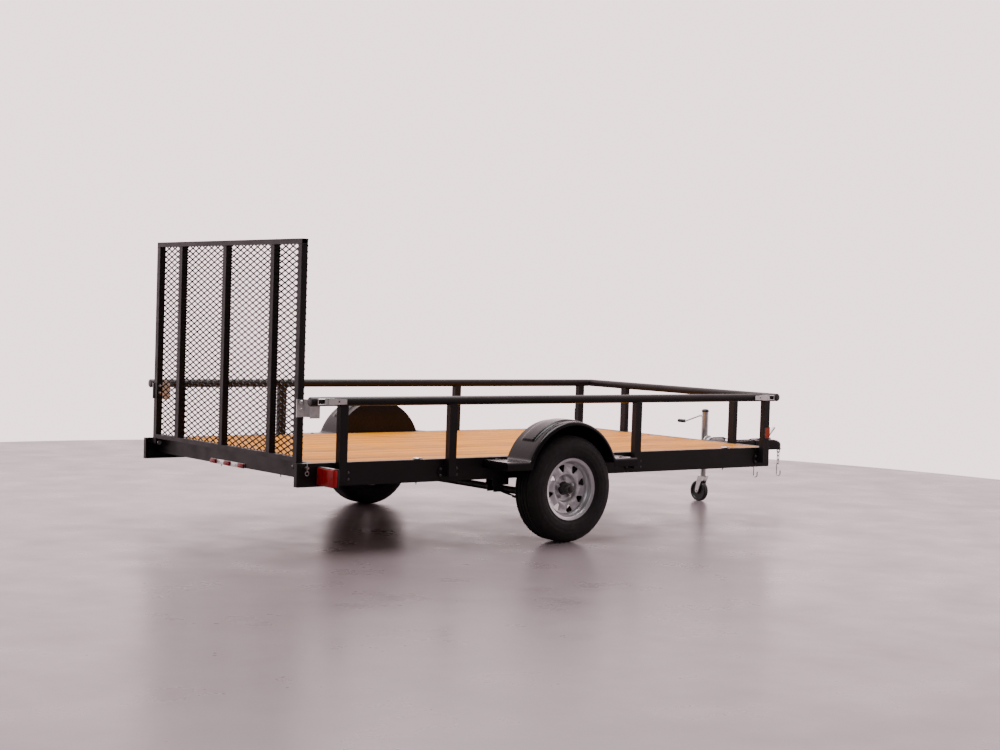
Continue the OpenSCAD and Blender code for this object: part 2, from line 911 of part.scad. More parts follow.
// A smooth curve through four stops, the second to the third as t goes from 0 to 1
function curve(a, b, c, d, t) = 0.5 * (2 * b + (c - a) * t + (2 * a - 5 * b + 4 * c - d) * t * t
                                       + (3 * b - a - 3 * c + d) * t * t * t);
function stop(k) = wire_stops[max(0, min(len(wire_stops) - 1, k))];
wire_steps = 4;
wire_path = concat([for (k = [0 : len(wire_stops) - 2], n = [0 : wire_steps - 1])
                    let (p = curve(stop(k - 1), stop(k), stop(k + 1), stop(k + 2), n / wire_steps))
                    [p[0], p[1], max(p[2], wire_low)]],
                   [stop(len(wire_stops) - 1)]);

module wiring() {
  sides = 10;
  last = len(wire_path) - 1;
  side = [0, 1, 0];
  rings = [for (k = [0 : last])
           let (along = wire_path[min(k + 1, last)] - wire_path[max(k - 1, 0)],
                over = cross(along, side) / norm(cross(along, side)),
                across = cross(over, along) / norm(cross(over, along)))
           for (n = [0 : sides - 1])
             wire_path[k] + wire_r * (cos(360 * n / sides) * across + sin(360 * n / sides) * over)];
  tip = wire_path[last];
  color("#161616") {
    polyhedron(
      points = rings,
      faces = concat(
        [[for (n = [0 : sides - 1]) n]],
        [for (k = [0 : last - 1], n = [0 : sides - 1])
         [k * sides + n, (k + 1) * sides + n, (k + 1) * sides + (n + 1) % sides, k * sides + (n + 1) % sides]],
        [[for (n = [sides - 1 : -1 : 0]) last * sides + n]]
      )
    );
    box(tip[0] + fit, tip[0] + 34, tip[1] - 11, tip[1] + 11, tip[2] - wire_r, tip[2] + 4);
  }
}

// ---------------------------------------------------------------- gate

module gate_uprights() {
  top = gate_top - gate_top_bar - fit;
  low = gate_low + gate_low_bar + fit;
  color("#2b2a2c") {
    both_sides()
      difference() {
        union() {
          box(gate_rear, gate_front, gate_half - gate_bar, gate_half, pin_z, top);
          bar_y(pin_x, pin_z, gate_half - gate_bar, gate_half, gate_bar / 2);
        }
        box(gate_rear + gate_wall, gate_front - gate_wall, gate_half - gate_bar + gate_wall,
            gate_half - gate_wall, pin_z - gate_bar, top + 1);
        bar_y(pin_x, pin_z, gate_half - gate_bar - 1, gate_half + 1, hinge_pin_r + run);
      }
    for (y = [-gate_inner_y, 0, gate_inner_y])
      difference() {
        box(gate_rear, gate_front, y - gate_bar / 2, y + gate_bar / 2, low, top);
        box(gate_rear + gate_wall, gate_front - gate_wall, y - gate_bar / 2 + gate_wall,
            y + gate_bar / 2 - gate_wall, low - 1, top + 1);
      }
  }
}

module gate_top_rail() {
  z0 = gate_top - gate_top_bar;
  color("#2b2a2c")
    difference() {
      box(gate_rear, gate_front, -gate_half, gate_half, z0, gate_top);
      box(gate_rear + gate_wall, gate_front - gate_wall, -gate_half - 1, gate_half + 1,
          z0 + gate_wall, gate_top - gate_wall);
    }
}

module gate_bottom_rail() {
  half = gate_half - gate_bar - fit;
  z1 = gate_low + gate_low_bar;
  color("#2b2a2c")
    difference() {
      box(gate_rear, gate_front, -half, half, gate_low, z1);
      box(gate_rear + gate_wall, gate_front - gate_wall, -half - 1, half + 1,
          gate_low + gate_wall, z1 - gate_wall);
    }
}

module gate_mesh() {
  x0 = gate_front + fit;
  color("#2b2a2c")
    box(x0, x0 + mesh_t, 2 - gate_half, gate_half - 2, gate_low + 4, gate_top - 5);
}

// A catch plate bolted to the outer face of an outer upright. It steps outwards and ends in a
// taller tab beside the end of the side rail.
module gate_latch_plates() {
  t = 4;
  y0 = gate_half + fit;
  y1 = y0 + 27;
  x0 = gate_rear - 8;
  x1 = gate_front;
  x2 = x1 + 22;
  x3 = x2 + 62;
  color("#b9bcc0")
    both_sides()
      difference() {
        union() {
          translate([0, 0, latch_z - 48])
            linear_extrude(96)
              polygon([
                [x0, y0], [x1, y0], [x2, y1], [x3, y1], [x3, y1 + t], [x2 - 2, y1 + t],
                [x1 - 2, y0 + t], [x0, y0 + t]
              ]);
          box(x2, x3, y1, y1 + t, latch_z - 55, latch_z + 60);
        }
        for (s = [-1, 1])
          bar_y(pin_x, latch_z + 10 + s * 21, y0 - 1, y0 + t + 1, 4.5);
      }
}

// ---------------------------------------------------------------- jack

module jack_bracket() {
  y0 = tongue_w / 2 + fit;
  color("#b9bcc0")
    union() {
      box(jack_x - 65, jack_x + 95, y0, y0 + 6, tongue_bot + 4, tongue_top + bracket_up);
      bar_y(jack_x, jack_pivot_z, y0 + 5, jack_y - jack_r - 16, 34);
      bar_y(jack_x, jack_pivot_z, y0 + 5, jack_y - jack_r - 4, 10);
    }
}

module jack_tube() {
  flange_y0 = jack_y - jack_r - 16 + fit;
  color("#b9bcc0")
    difference() {
      union() {
        bar_z(jack_x, jack_y, jack_low, jack_top, jack_r);
        bar_y(jack_x, jack_pivot_z, flange_y0, flange_y0 + 8, 46);
        box(jack_x - 22, jack_x + 22, flange_y0 + 1, jack_y - jack_bore, jack_pivot_z - 34, jack_pivot_z + 34);
      }
      bar_z(jack_x, jack_y, jack_low - 1, jack_top + 1, jack_bore);
      bar_y(jack_x, jack_pivot_z, flange_y0 - 1, jack_y - jack_r - 4 + 1, 10 + run);
      bar_y(jack_x, crank_z, jack_y, jack_y + jack_r + 1, 7 + fit);
    }
}

module jack_cap() {
  color("#1c1c1d")
    translate([jack_x, jack_y, jack_top + fit])
      rotate_extrude()
        polygon([
          [0, 0], [jack_r + 1.6, 0], [jack_r + 1.6, 8], [jack_r - 1.4, 15], [jack_r - 9.4, 20], [0, 22]
        ]);
}

module jack_crank() {
  arm = 150;
  fall = 38;
  grip_z = crank_z - fall;
  color("#b9bcc0")
    union() {
      bar_y(jack_x, crank_z, jack_y + 4, crank_y + 6, 7);
      translate([jack_x, crank_y, crank_z])
        rotate([0, 180 + atan2(fall, -arm) - 180, 0])
          translate([0, 0, 0])
            rotate([0, 90, 0])
              cylinder(h = sqrt(arm * arm + fall * fall), r = 6);
      bar_y(jack_x - arm, grip_z, crank_y - 4, crank_y + 72, 6);
      bar_y(jack_x - arm, grip_z, crank_y + 8, crank_y + 70, 12);
    }
}

module jack_leg() {
  plug = 30;
  color("#b9bcc0")
    difference() {
      bar_z(jack_x, jack_y, leg_bot, leg_top, leg_r);
      bar_z(jack_x, jack_y, leg_bot + plug, leg_top + 1, leg_r - 3);
      bar_z(jack_x, jack_y, leg_bot - 1, leg_bot + plug - 6, kingpin_r + run);
    }
}

module caster_fork() {
  wheel_cy = jack_y + caster_trail;
  plate_z0 = leg_bot - 1 - 8;
  half = caster_w / 2 + 3;
  color("#c9ccd0")
    union() {
      bar_z(jack_x, jack_y, plate_z0 + 1, leg_bot + 22, kingpin_r);
      bar_z(jack_x, jack_y, plate_z0, plate_z0 + 8, half + 4);
      for (s = [-1, 1])
        translate([jack_x + s * (half + 2) - 2, 0, 0])
          rotate([90, 0, 90])
            linear_extrude(4)
              polygon([
                [jack_y - 24, plate_z0 + 6], [jack_y + 26, plate_z0 + 6],
                [wheel_cy + 15, caster_r], [wheel_cy + 8, caster_r - 13],
                [wheel_cy - 8, caster_r - 13], [wheel_cy - 16, caster_r - 2]
              ]);
      box(jack_x - half - 4, jack_x + half + 4, jack_y - 24, jack_y + 26, plate_z0, plate_z0 + 6);
      bar_x(wheel_cy, caster_r, jack_x - half - 10, jack_x + half + 10, 6);
    }
}

module caster_wheel() {
  color("#26241f")
    translate([jack_x, jack_y + caster_trail, caster_r])
      rotate([0, 90, 0])
        rotate_extrude($fn = 96)
          polygon([
            [6 + run, -caster_w / 2], [20, -caster_w / 2], [24, -12], [54, -12], [58, -caster_w / 2 + 3],
            [caster_r - 5, -caster_w / 2 + 3], [caster_r, -caster_w / 2 + 9], [caster_r, caster_w / 2 - 9],
            [caster_r - 5, caster_w / 2 - 3], [58, caster_w / 2 - 3], [54, 12], [24, 12],
            [20, caster_w / 2], [6 + run, caster_w / 2]
          ]);
}

// ---------------------------------------------------------------- assembly

color("#2b2a2c") side_channel();  // side_channel_left
color("#2b2a2c") right_side() side_channel();  // side_channel_right
front_beam();
rear_beam();
cross_members();
tongue();
deck_boards();
color("#2b2a2c") side_posts();  // side_posts_left
color("#2b2a2c") right_side() side_posts();  // side_posts_right
front_posts();
color("#2b2a2c") side_post_plates();  // post_plates_left
color("#2b2a2c") right_side() side_post_plates();  // post_plates_right
post_plates_front();
color("#2b2a2c") side_rail();  // top_rail_left
color("#2b2a2c") right_side() side_rail();  // top_rail_right
top_rail_front();
rail_latches();
color("#232224") fender();  // fender_left
color("#232224") right_side() fender();  // fender_right
axle();
color("#3a3a3d") leaf_spring();  // leaf_spring_left
color("#3a3a3d") right_side() leaf_spring();  // leaf_spring_right
spring_hangers();
spring_shackles();
axle_clamps();
tail_light();  // tail_light_left
right_side() tail_light();  // tail_light_right
light_brackets();
id_lights();
reflectors();
tie_down_loops();
gate_hinge_pins();
hairpin_clips();
coupler();
coupler_lever();
safety_chains();
jack_bracket();
wiring();
gate_uprights();
gate_top_rail();
gate_bottom_rail();
gate_mesh();
gate_latch_plates();
jack_tube();
jack_cap();
jack_crank();
jack_leg();
caster_fork();
caster_wheel();
color("#232225") tyre();  // tyre_left
color("#d4d6d9") rim();  // rim_left
color("#8a8a8c") hub();  // hub_left
color("#232225") right_side() tyre();  // tyre_right
color("#d4d6d9") right_side() rim();  // rim_right
color("#8a8a8c") right_side() hub();  // hub_right
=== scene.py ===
# %% [markdown]
# # A utility trailer, dressed
#
# The frame of this model was made and measured in CAD. Here each piece of it gets the finish that the real
# one has, and the small things that CAD leaves out are added: tread, bolts, board edges, wire mesh, welds.
# Everything is in metres. +X points to the coupler, +Y to the trailer's left side and +Z up.

# %% Load the frame and note its size
import math
import random

import bmesh
import bpy
from mathutils import Matrix, Vector


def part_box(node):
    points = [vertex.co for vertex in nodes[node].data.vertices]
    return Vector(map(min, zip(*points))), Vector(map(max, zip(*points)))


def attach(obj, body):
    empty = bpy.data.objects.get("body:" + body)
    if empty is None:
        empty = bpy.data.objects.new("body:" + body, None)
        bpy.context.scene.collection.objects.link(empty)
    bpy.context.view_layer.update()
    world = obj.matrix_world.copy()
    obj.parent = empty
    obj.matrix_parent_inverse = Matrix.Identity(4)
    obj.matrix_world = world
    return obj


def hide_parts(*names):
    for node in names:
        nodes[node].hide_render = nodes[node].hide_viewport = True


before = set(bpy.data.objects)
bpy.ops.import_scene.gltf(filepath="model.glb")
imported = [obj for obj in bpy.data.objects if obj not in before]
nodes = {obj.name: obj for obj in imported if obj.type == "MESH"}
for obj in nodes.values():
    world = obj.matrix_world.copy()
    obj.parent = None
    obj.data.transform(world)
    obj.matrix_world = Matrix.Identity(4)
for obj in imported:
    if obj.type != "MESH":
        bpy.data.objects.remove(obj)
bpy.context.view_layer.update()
random.seed(7)

# %% [markdown]
# ## The camera
#
# A camera far from a long object keeps its sides nearly parallel. This one stands behind the trailer on its
# right side, a little above the deck, and is turned by a small roll. Its three axes are worked out from the
# three angles, because a rotation matrix built from them can be checked by eye: right, up, and backwards.

# %% Aim the camera
CAMERA_PLACE = Vector((-7.029, -8.534, 1.3315))
YAW, PITCH, ROLL = (math.radians(a) for a in (51.778, -2.121, 1.805))

forward = Vector((math.cos(PITCH) * math.cos(YAW), math.cos(PITCH) * math.sin(YAW), math.sin(PITCH)))
flat_right = Vector((math.sin(YAW), -math.cos(YAW), 0))
flat_up = flat_right.cross(forward)
right = math.cos(ROLL) * flat_right + math.sin(ROLL) * flat_up
up = math.cos(ROLL) * flat_up - math.sin(ROLL) * flat_right

camera = bpy.data.objects.new("camera", bpy.data.cameras.new("camera"))
camera.data.sensor_width = 36
camera.data.lens = 60.39
camera.data.clip_end = 200
camera.matrix_world = Matrix((
    (right.x, up.x, -forward.x, CAMERA_PLACE.x),
    (right.y, up.y, -forward.y, CAMERA_PLACE.y),
    (right.z, up.z, -forward.z, CAMERA_PLACE.z),
    (0, 0, 0, 1)))
bpy.context.scene.collection.objects.link(camera)
bpy.context.scene.camera = camera
print("the camera looks along", tuple(round(c, 3) for c in forward))

# %% [markdown]
# ## Colours and nodes
#
# Paint charts and web pages give colours as sRGB hex, but a renderer adds light in linear values, so one
# function turns the first into the second. Every material below is a small graph, and one function adds a
# node with its settings and its links, so that a graph reads from top to bottom like a recipe.


# %% Turn a hex colour into linear light
def lin(hex_colour):
    parts = [int(hex_colour[i:i + 2], 16) / 255 for i in (1, 3, 5)]
    return tuple(c / 12.92 if c <= 0.04045 else ((c + 0.055) / 1.055) ** 2.4 for c in parts) + (1.0,)


print("mid grey is", [round(c, 3) for c in lin("#808080")])


# %% Start a material and add nodes to it
def new_material(name, colour, roughness, metallic=0.0, **more):
    mat = bpy.data.materials.new(name)
    mat.use_nodes = True
    shader = mat.node_tree.nodes["Principled BSDF"]
    shader.inputs["Base Color"].default_value = lin(colour)
    shader.inputs["Roughness"].default_value = roughness
    shader.inputs["Metallic"].default_value = metallic
    for socket, value in more.items():
        shader.inputs[socket.replace("_", " ")].default_value = value
    mat.diffuse_color = lin(colour)
    return mat


def add(mat, kind, links=None, **settings):
    """Adds one node: settings are its properties, links its inputs by name, each a value or another socket."""
    item = mat.node_tree.nodes.new(kind)
    for key, value in settings.items():
        setattr(item, key, value)
    for key, value in (links or {}).items():
        if isinstance(value, bpy.types.NodeSocket):
            mat.node_tree.links.new(value, item.inputs[key])
        else:
            item.inputs[key].default_value = value
    return item


def feed(mat, socket, value):
    mat.node_tree.links.new(value, mat.node_tree.nodes["Principled BSDF"].inputs[socket])


def ramp(mat, factor, stops):
    """A colour ramp through (position, hex) stops."""
    item = add(mat, "ShaderNodeValToRGB", {"Fac": factor})
    while len(item.color_ramp.elements) < len(stops):
        item.color_ramp.elements.new(0.5)
    for element, (place, colour) in zip(item.color_ramp.elements, stops):
        element.position = place
        element.color = lin(colour)
    return item.outputs["Color"]


def per_mm(size):
    """The scale that makes a pattern repeat about once in that many millimetres."""
    return 1000.0 / size


def place(mat, scale=(1, 1, 1)):
    """The point being shaded, in metres in the trailer's own frame, stretched by scale."""
    spot = add(mat, "ShaderNodeTexCoord")
    return add(mat, "ShaderNodeMapping", {"Vector": spot.outputs["Object"], "Scale": scale}).outputs["Vector"]


def grain(mat, size_mm, detail):
    """A noise whose lumps are about that many millimetres across."""
    item = add(mat, "ShaderNodeTexNoise", {"Vector": place(mat), "Scale": per_mm(size_mm),
                                           "Detail": detail, "Roughness": 0.55})
    return item.outputs["Fac"]


def spread(mat, factor, low, high, start=0.3, end=0.7):
    """Maps a noise's middle values onto a range of numbers."""
    item = add(mat, "ShaderNodeMapRange", {"Value": factor, "From Min": start, "From Max": end,
                                           "To Min": low, "To Max": high})
    return item.outputs["Result"]


def raise_by(mat, height, distance, strength):
    """A bump of that many metres."""
    links = {"Height": height, "Distance": distance, "Strength": strength}
    return add(mat, "ShaderNodeBump", links).outputs["Normal"]


def weather(mat, tint=None, rough=None, bump=None):
    """Breaks up a plain material with noises, each given as its size in mm, its detail and its values."""
    if tint:
        feed(mat, "Base Color", ramp(mat, grain(mat, *tint[:2]), tint[2]))
    if rough:
        feed(mat, "Roughness", spread(mat, grain(mat, *rough[:2]), *rough[2:]))
    if bump:
        feed(mat, "Normal", raise_by(mat, grain(mat, *bump[:2]), *bump[2:]))


print("helpers ready; 2 mm repeats", per_mm(2.0), "times a metre")

# %% [markdown]
# ## Powder-coated steel
#
# The channels, posts and rails are mild steel, sprayed with dry black polyester powder and baked. The powder
# melts into a tough skin with a faint orange peel a couple of millimetres across, satin rather than glossy,
# and a little dust makes the upper faces of it look charcoal. A slow noise moves the colour and the
# roughness, a fine one makes the peel.

# %% Make the powder coat
powder_coat = new_material("powder_coated_steel_satin_black", "#141212", 0.42, Specular_IOR_Level=0.20)
weather(powder_coat, tint=(220, 6, [(0.30, "#151213"), (0.55, "#1b1818"), (0.80, "#231f1f")]),
        rough=(90, 5, 0.36, 0.50),
        bump=(2.6, 2, 0.00006, 0.6))
print("made", powder_coat.name)

# %% [markdown]
# ## Chassis enamel
#
# The axle, springs and their brackets are dipped or brushed with a cheap dull enamel. It is uneven, with
# thin places and road dust, so both noises are stronger than on the powder coat.

# %% Make the chassis enamel
chassis_enamel = new_material("chassis_enamel_dull_black", "#151313", 0.55, Specular_IOR_Level=0.3)
weather(chassis_enamel, tint=(45, 7, [(0.25, "#0d0c0c"), (0.6, "#161414"), (0.85, "#262220")]),
        rough=(30, 5, 0.42, 0.68),
        bump=(6, 4, 0.00015, 0.7))
print("made", chassis_enamel.name)

# %% [markdown]
# ## Gloss enamel on pressed sheet
#
# The fenders and the coupler are pressed from sheet and sprayed with a glossy black. Pressed sheet is never
# quite flat, so a broad, very low bump bends the reflections, and a clear coat sharpens them.

# %% Make the gloss enamel
gloss_enamel = new_material("gloss_enamel_on_pressed_sheet", "#131112", 0.28, Specular_IOR_Level=0.09,
                            Coat_Weight=0.14, Coat_Roughness=0.06)
weather(gloss_enamel, tint=(160, 5, [(0.3, "#100e0f"), (0.7, "#171415")]),
        rough=(60, 4, 0.20, 0.30),
        bump=(140, 1, 0.0005, 0.10))
print("made", gloss_enamel.name)

# %% [markdown]
# ## Bright zinc plate
#
# Latches, rings, chains and the jack are electroplated with zinc: a thin metal skin, silver with a bluish
# and a yellowish cast in patches, and duller where it was handled. The metal stays metallic everywhere and
# only its tint and roughness wander.

# %% Make the zinc plate
zinc_plate = new_material("zinc_electroplated_steel", "#b9bab8", 0.34, metallic=1.0)
weather(zinc_plate, tint=(28, 6, [(0.25, "#b2b4b9"), (0.5, "#d2d3d2"), (0.78, "#dcd9cf")]),
        rough=(11, 5, 0.26, 0.46),
        bump=(1.6, 3, 0.00003, 0.5))
print("made", zinc_plate.name)

# %% [markdown]
# ## Wheel paint
#
# A pressed steel wheel is sprayed silver: aluminium flakes in a clear binder. The flakes are far finer than
# can show here, so they are drawn as a faint sparkle in the roughness, and the paint is only part metallic.
# A hub is painted a duller dark grey, and the bolts of the posts get the same paint.

# %% Make the wheel paint
wheel_paint = new_material("wheel_paint_silver", "#c8cacd", 0.34, metallic=0.65, Coat_Weight=0.2)
weather(wheel_paint, tint=(40, 5, [(0.3, "#c0c2c6"), (0.7, "#d2d4d6")]),
        rough=(3, 4, 0.28, 0.42),
        bump=(2.0, 2, 0.00003, 0.4))
hub_paint = new_material("hub_paint_dark_grey", "#4b4a4a", 0.46, metallic=0.5)
weather(hub_paint, tint=(14, 6, [(0.25, "#343333"), (0.55, "#545352"), (0.8, "#77736d")]),
        bump=(4, 4, 0.00015, 0.6))
print("made", wheel_paint.name, "and", hub_paint.name)

# %% [markdown]
# ## Pine planks
#
# The deck is sawn pine. Its grain runs along each plank, so the noise is squeezed across the plank and
# stretched along it. Each plank comes from another tree: a number worked out from the plank's place across
# the deck shifts its grain and its shade. A few small dark knots and dark growth lines finish it.

# %% Work out the planks
PLANKS, PLANK_GAP = 12, 0.0055
plank_low, plank_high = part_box("deck_boards")
PLANK_PITCH = (plank_high.y - plank_low.y + PLANK_GAP) / PLANKS
PLANK_WIDTH = PLANK_PITCH - PLANK_GAP
print("a plank is", round(PLANK_WIDTH * 1000), "mm wide")

# %% Make the pine
pine = new_material("pine_planks_sawn", "#c98a38", 0.66, Specular_IOR_Level=0.12)
spot = add(pine, "ShaderNodeSeparateXYZ", {"Vector": place(pine)})
index = add(pine, "ShaderNodeMath", {0: spot.outputs["Y"], 1: -plank_low.y}, operation="ADD")
index = add(pine, "ShaderNodeMath", {0: index.outputs[0], 1: PLANK_PITCH}, operation="DIVIDE")
index = add(pine, "ShaderNodeMath", {0: index.outputs[0]}, operation="FLOOR")
luck = add(pine, "ShaderNodeTexWhiteNoise", {"W": index.outputs[0]}, noise_dimensions="1D")
shift = add(pine, "ShaderNodeVectorMath", {0: luck.outputs["Color"], 1: (7.0, 3.0, 5.0)},
            operation="MULTIPLY")
spread_spot = add(pine, "ShaderNodeVectorMath", {0: place(pine, (1.3, 26, 26)), 1: shift.outputs[0]},
                  operation="ADD")
fibre = add(pine, "ShaderNodeTexNoise", {"Vector": spread_spot.outputs[0], "Scale": 2.2, "Detail": 7.0,
                                        "Roughness": 0.62, "Distortion": 0.5})
rings_spot = add(pine, "ShaderNodeVectorMath", {0: place(pine, (0.28, 9, 9)), 1: shift.outputs[0]},
                 operation="ADD")
rings = add(pine, "ShaderNodeTexWave", {"Vector": rings_spot.outputs[0], "Scale": 2.4, "Distortion": 5.5,
                                       "Detail": 3.0, "Detail Scale": 1.2}, wave_type="BANDS",
            bands_direction="Y")
knots = add(pine, "ShaderNodeTexVoronoi", {"Vector": rings_spot.outputs[0], "Scale": 0.9, "Randomness": 1.0})
light_wood = ramp(pine, fibre.outputs["Fac"], [(0.28, "#a5661a"), (0.44, "#cf8f30"), (0.60, "#dda244"),
                                               (0.8, "#bd7a20")])
ring_wood = ramp(pine, rings.outputs["Fac"], [(0.0, "#ffffff"), (0.50, "#f8e6c8"), (0.80, "#c08a4c"),
                                              (1.0, "#8a5424")])
wood = add(pine, "ShaderNodeMix", {"Factor": 0.75, "A": light_wood, "B": ring_wood}, data_type="RGBA",
           blend_type="MULTIPLY")
knot_mask = add(pine, "ShaderNodeMapRange", {"Value": knots.outputs["Distance"], "From Min": 0.03,
                                             "From Max": 0.10,
                                            "To Min": 0.75, "To Max": 0.0})
wood = add(pine, "ShaderNodeMix", {"Factor": knot_mask.outputs["Result"], "A": wood.outputs["Result"],
                                  "B": lin("#7a4e2a")}, data_type="RGBA")
streak_spot = add(pine, "ShaderNodeVectorMath", {0: place(pine, (0.7, 15, 15)), 1: shift.outputs[0]},
                  operation="ADD")
streaks = add(pine, "ShaderNodeTexNoise", {"Vector": streak_spot.outputs[0], "Scale": 4.0, "Detail": 5.0,
                                           "Roughness": 0.65})
streak_wood = ramp(pine, streaks.outputs["Fac"], [(0.32, "#84582c"), (0.43, "#ecd8b8"), (0.58, "#ffffff"),
                                                  (0.72, "#c09460")])
wood = add(pine, "ShaderNodeMix", {"Factor": 0.8, "A": wood.outputs["Result"], "B": streak_wood},
           data_type="RGBA",
           blend_type="MULTIPLY")
tone = add(pine, "ShaderNodeMapRange", {"Value": luck.outputs["Value"], "To Min": 0.78, "To Max": 1.06})
wood = add(pine, "ShaderNodeHueSaturation", {"Color": wood.outputs["Result"], "Value": tone.outputs["Result"],
                                            "Saturation": 1.08})
feed(pine, "Base Color", wood.outputs["Color"])
feed(pine, "Roughness", spread(pine, fibre.outputs["Fac"], 0.52, 0.72))
feed(pine, "Normal", raise_by(pine, fibre.outputs["Fac"], 0.0005, 0.5))
print("made", pine.name)

# %% [markdown]
# ## Rubber, plastics and lenses
#
# A new tyre is matt, near black and a little brown, with a soft sheen on the flanks. Moulded plastic is
# smoother. A tail lens is clear red acrylic over a grid of small prisms that throw the light back, which
# are drawn as a fine raised check under a glossy coat.

# %% Make the rubber and the plastics
tyre_rubber = new_material("tyre_rubber_moulded", "#161415", 0.72, Specular_IOR_Level=0.3, Sheen_Weight=0.04)
weather(tyre_rubber, tint=(60, 6, [(0.3, "#181616"), (0.6, "#1f1d1d"), (0.82, "#2a2726")]),
        rough=(25, 5, 0.62, 0.80),
        bump=(1.5, 3, 0.00008, 0.6))
black_plastic = new_material("polypropylene_moulded_black", "#161617", 0.40)
weather(black_plastic, rough=(12, 4, 0.34, 0.50),
        bump=(0.9, 2, 0.00004, 0.6))
cable_skin = new_material("pvc_cable_jacket_black", "#141414", 0.45)
weather(cable_skin, rough=(8, 3, 0.38, 0.55))
print("made", tyre_rubber.name, black_plastic.name, cable_skin.name)


# %% Make the lenses
def prism_lens(name, low, high, pitch_mm):
    """Clear coloured acrylic over a check of prisms, pitch_mm apart."""
    mat = new_material(name, high, 0.30, Specular_IOR_Level=0.22, Coat_Weight=0.10, Coat_Roughness=0.08)
    check = add(mat, "ShaderNodeTexChecker", {"Vector": place(mat), "Scale": per_mm(pitch_mm)})
    tint = ramp(mat, grain(mat, 35, 3), [(0.25, low), (0.75, high)])
    mix = add(mat, "ShaderNodeMix", {"Factor": spread(mat, check.outputs["Fac"], 0.0, 0.30, 0, 1), "A": tint,
                                    "B": lin(low)}, data_type="RGBA")
    feed(mat, "Base Color", mix.outputs["Result"])
    feed(mat, "Normal", raise_by(mat, check.outputs["Fac"], 0.0004, 0.5))
    return mat


red_lens = prism_lens("acrylic_lens_red", "#8a0409", "#c4070f", 5)
amber_lens = prism_lens("acrylic_reflector_amber_red", "#a52a10", "#e0552a", 4)
print("made", red_lens.name, "and", amber_lens.name)

# %% Give each CAD node its finish
FINISH = {
    powder_coat: ["side_channel_left", "side_channel_right", "front_beam", "rear_beam", "cross_members",
                  "tongue",
                  "side_posts_left", "side_posts_right", "front_posts", "post_plates_left",
                  "post_plates_right",
                  "post_plates_front", "top_rail_left", "top_rail_right", "top_rail_front", "light_brackets",
                  "gate_uprights", "gate_top_rail", "gate_bottom_rail"],
    chassis_enamel: ["axle", "leaf_spring_left", "leaf_spring_right", "spring_hangers", "spring_shackles",
                     "axle_clamps"],
    gloss_enamel: ["fender_left", "fender_right", "coupler"],
    zinc_plate: ["rail_latches", "tie_down_loops", "gate_hinge_pins", "hairpin_clips", "safety_chains",
                 "jack_bracket", "jack_tube", "jack_crank", "jack_leg", "gate_latch_plates", "caster_fork",
                 "coupler_lever"],
    pine: ["deck_boards"],
    black_plastic: ["jack_cap", "caster_wheel"],
    cable_skin: ["wiring"],
    red_lens: ["tail_light_left", "tail_light_right", "id_lights"],
    amber_lens: ["reflectors"],
    wheel_paint: ["rim_left", "rim_right"],
    hub_paint: ["hub_left", "hub_right"],
    tyre_rubber: ["tyre_left", "tyre_right"],
}
for finish, names in FINISH.items():
    for name in names:
        slots = nodes[name].data.materials
        slots.clear()
        slots.append(finish)
print(sum(len(v) for v in FINISH.values()), "of", len(nodes), "nodes have a finish")

# %% [markdown]
# ## How the pieces are made
#
# A mesh can be built by hand from points and faces. bmesh keeps the two in step, so each piece below starts
# as an empty bmesh, takes a few simple shapes, and is then written to one object. Like small things on the
# same body share an object, which keeps the list of pieces short. Two shapes cover most of what is added:
# a ring turned on a lathe and a block with softened edges. The rest are rows of points with a skin between them.


# %% Write a bmesh to a piece that rides on a body
def piece(name, shape, material, body, stands_for=(), smooth=40):
    bmesh.ops.recalc_face_normals(shape, faces=shape.faces)
    data = bpy.data.meshes.new(name)
    shape.to_mesh(data)
    shape.free()
    data.materials.append(material)
    for polygon in data.polygons:
        polygon.use_smooth = True
    data.set_sharp_from_angle(angle=math.radians(smooth))
    item = bpy.data.objects.new(name, data)
    show(item)
    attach(item, body)
    if stands_for:
        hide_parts(*stands_for)
    return item


def show(item):
    bpy.context.scene.collection.objects.link(item)


def square_axes(along):
    """Two directions at right angles to a third."""
    along = Vector(along).normalized()
    other = Vector((0, 0, 1)) if abs(along.z) < 0.9 else Vector((1, 0, 0))
    first = along.cross(other).normalized()
    return first, along.cross(first).normalized()


def circle(shape, centre, radius, side, front, steps, start=0.0):
    """New points round a centre, in the plane of two directions."""
    return [shape.verts.new(centre + radius * (math.cos(a) * side + math.sin(a) * front))
            for a in (start + 2 * math.pi * k / steps for k in range(steps))]


def skin(shape, rows, closed=True):
    """Faces between each row of points and the next; closed joins a row's last point to its first."""
    for one, two in zip(rows, rows[1:]):
        for k in range(len(one) if closed else len(one) - 1):
            n = (k + 1) % len(one)
            shape.faces.new((one[k], one[n], two[n], two[k]))


def thicken(shape, thickness):
    """Turns a sheet's faces outward, judged by its highest one, and gives it thickness."""
    bmesh.ops.recalc_face_normals(shape, faces=shape.faces)
    if max(shape.faces, key=lambda f: f.calc_center_median().z).normal.z < 0:
        bmesh.ops.reverse_faces(shape, faces=shape.faces)
    bmesh.ops.solidify(shape, geom=list(shape.faces), thickness=thickness)


SIDES = (("left", 1), ("right", -1))
print("piece() writes a mesh and names its body")


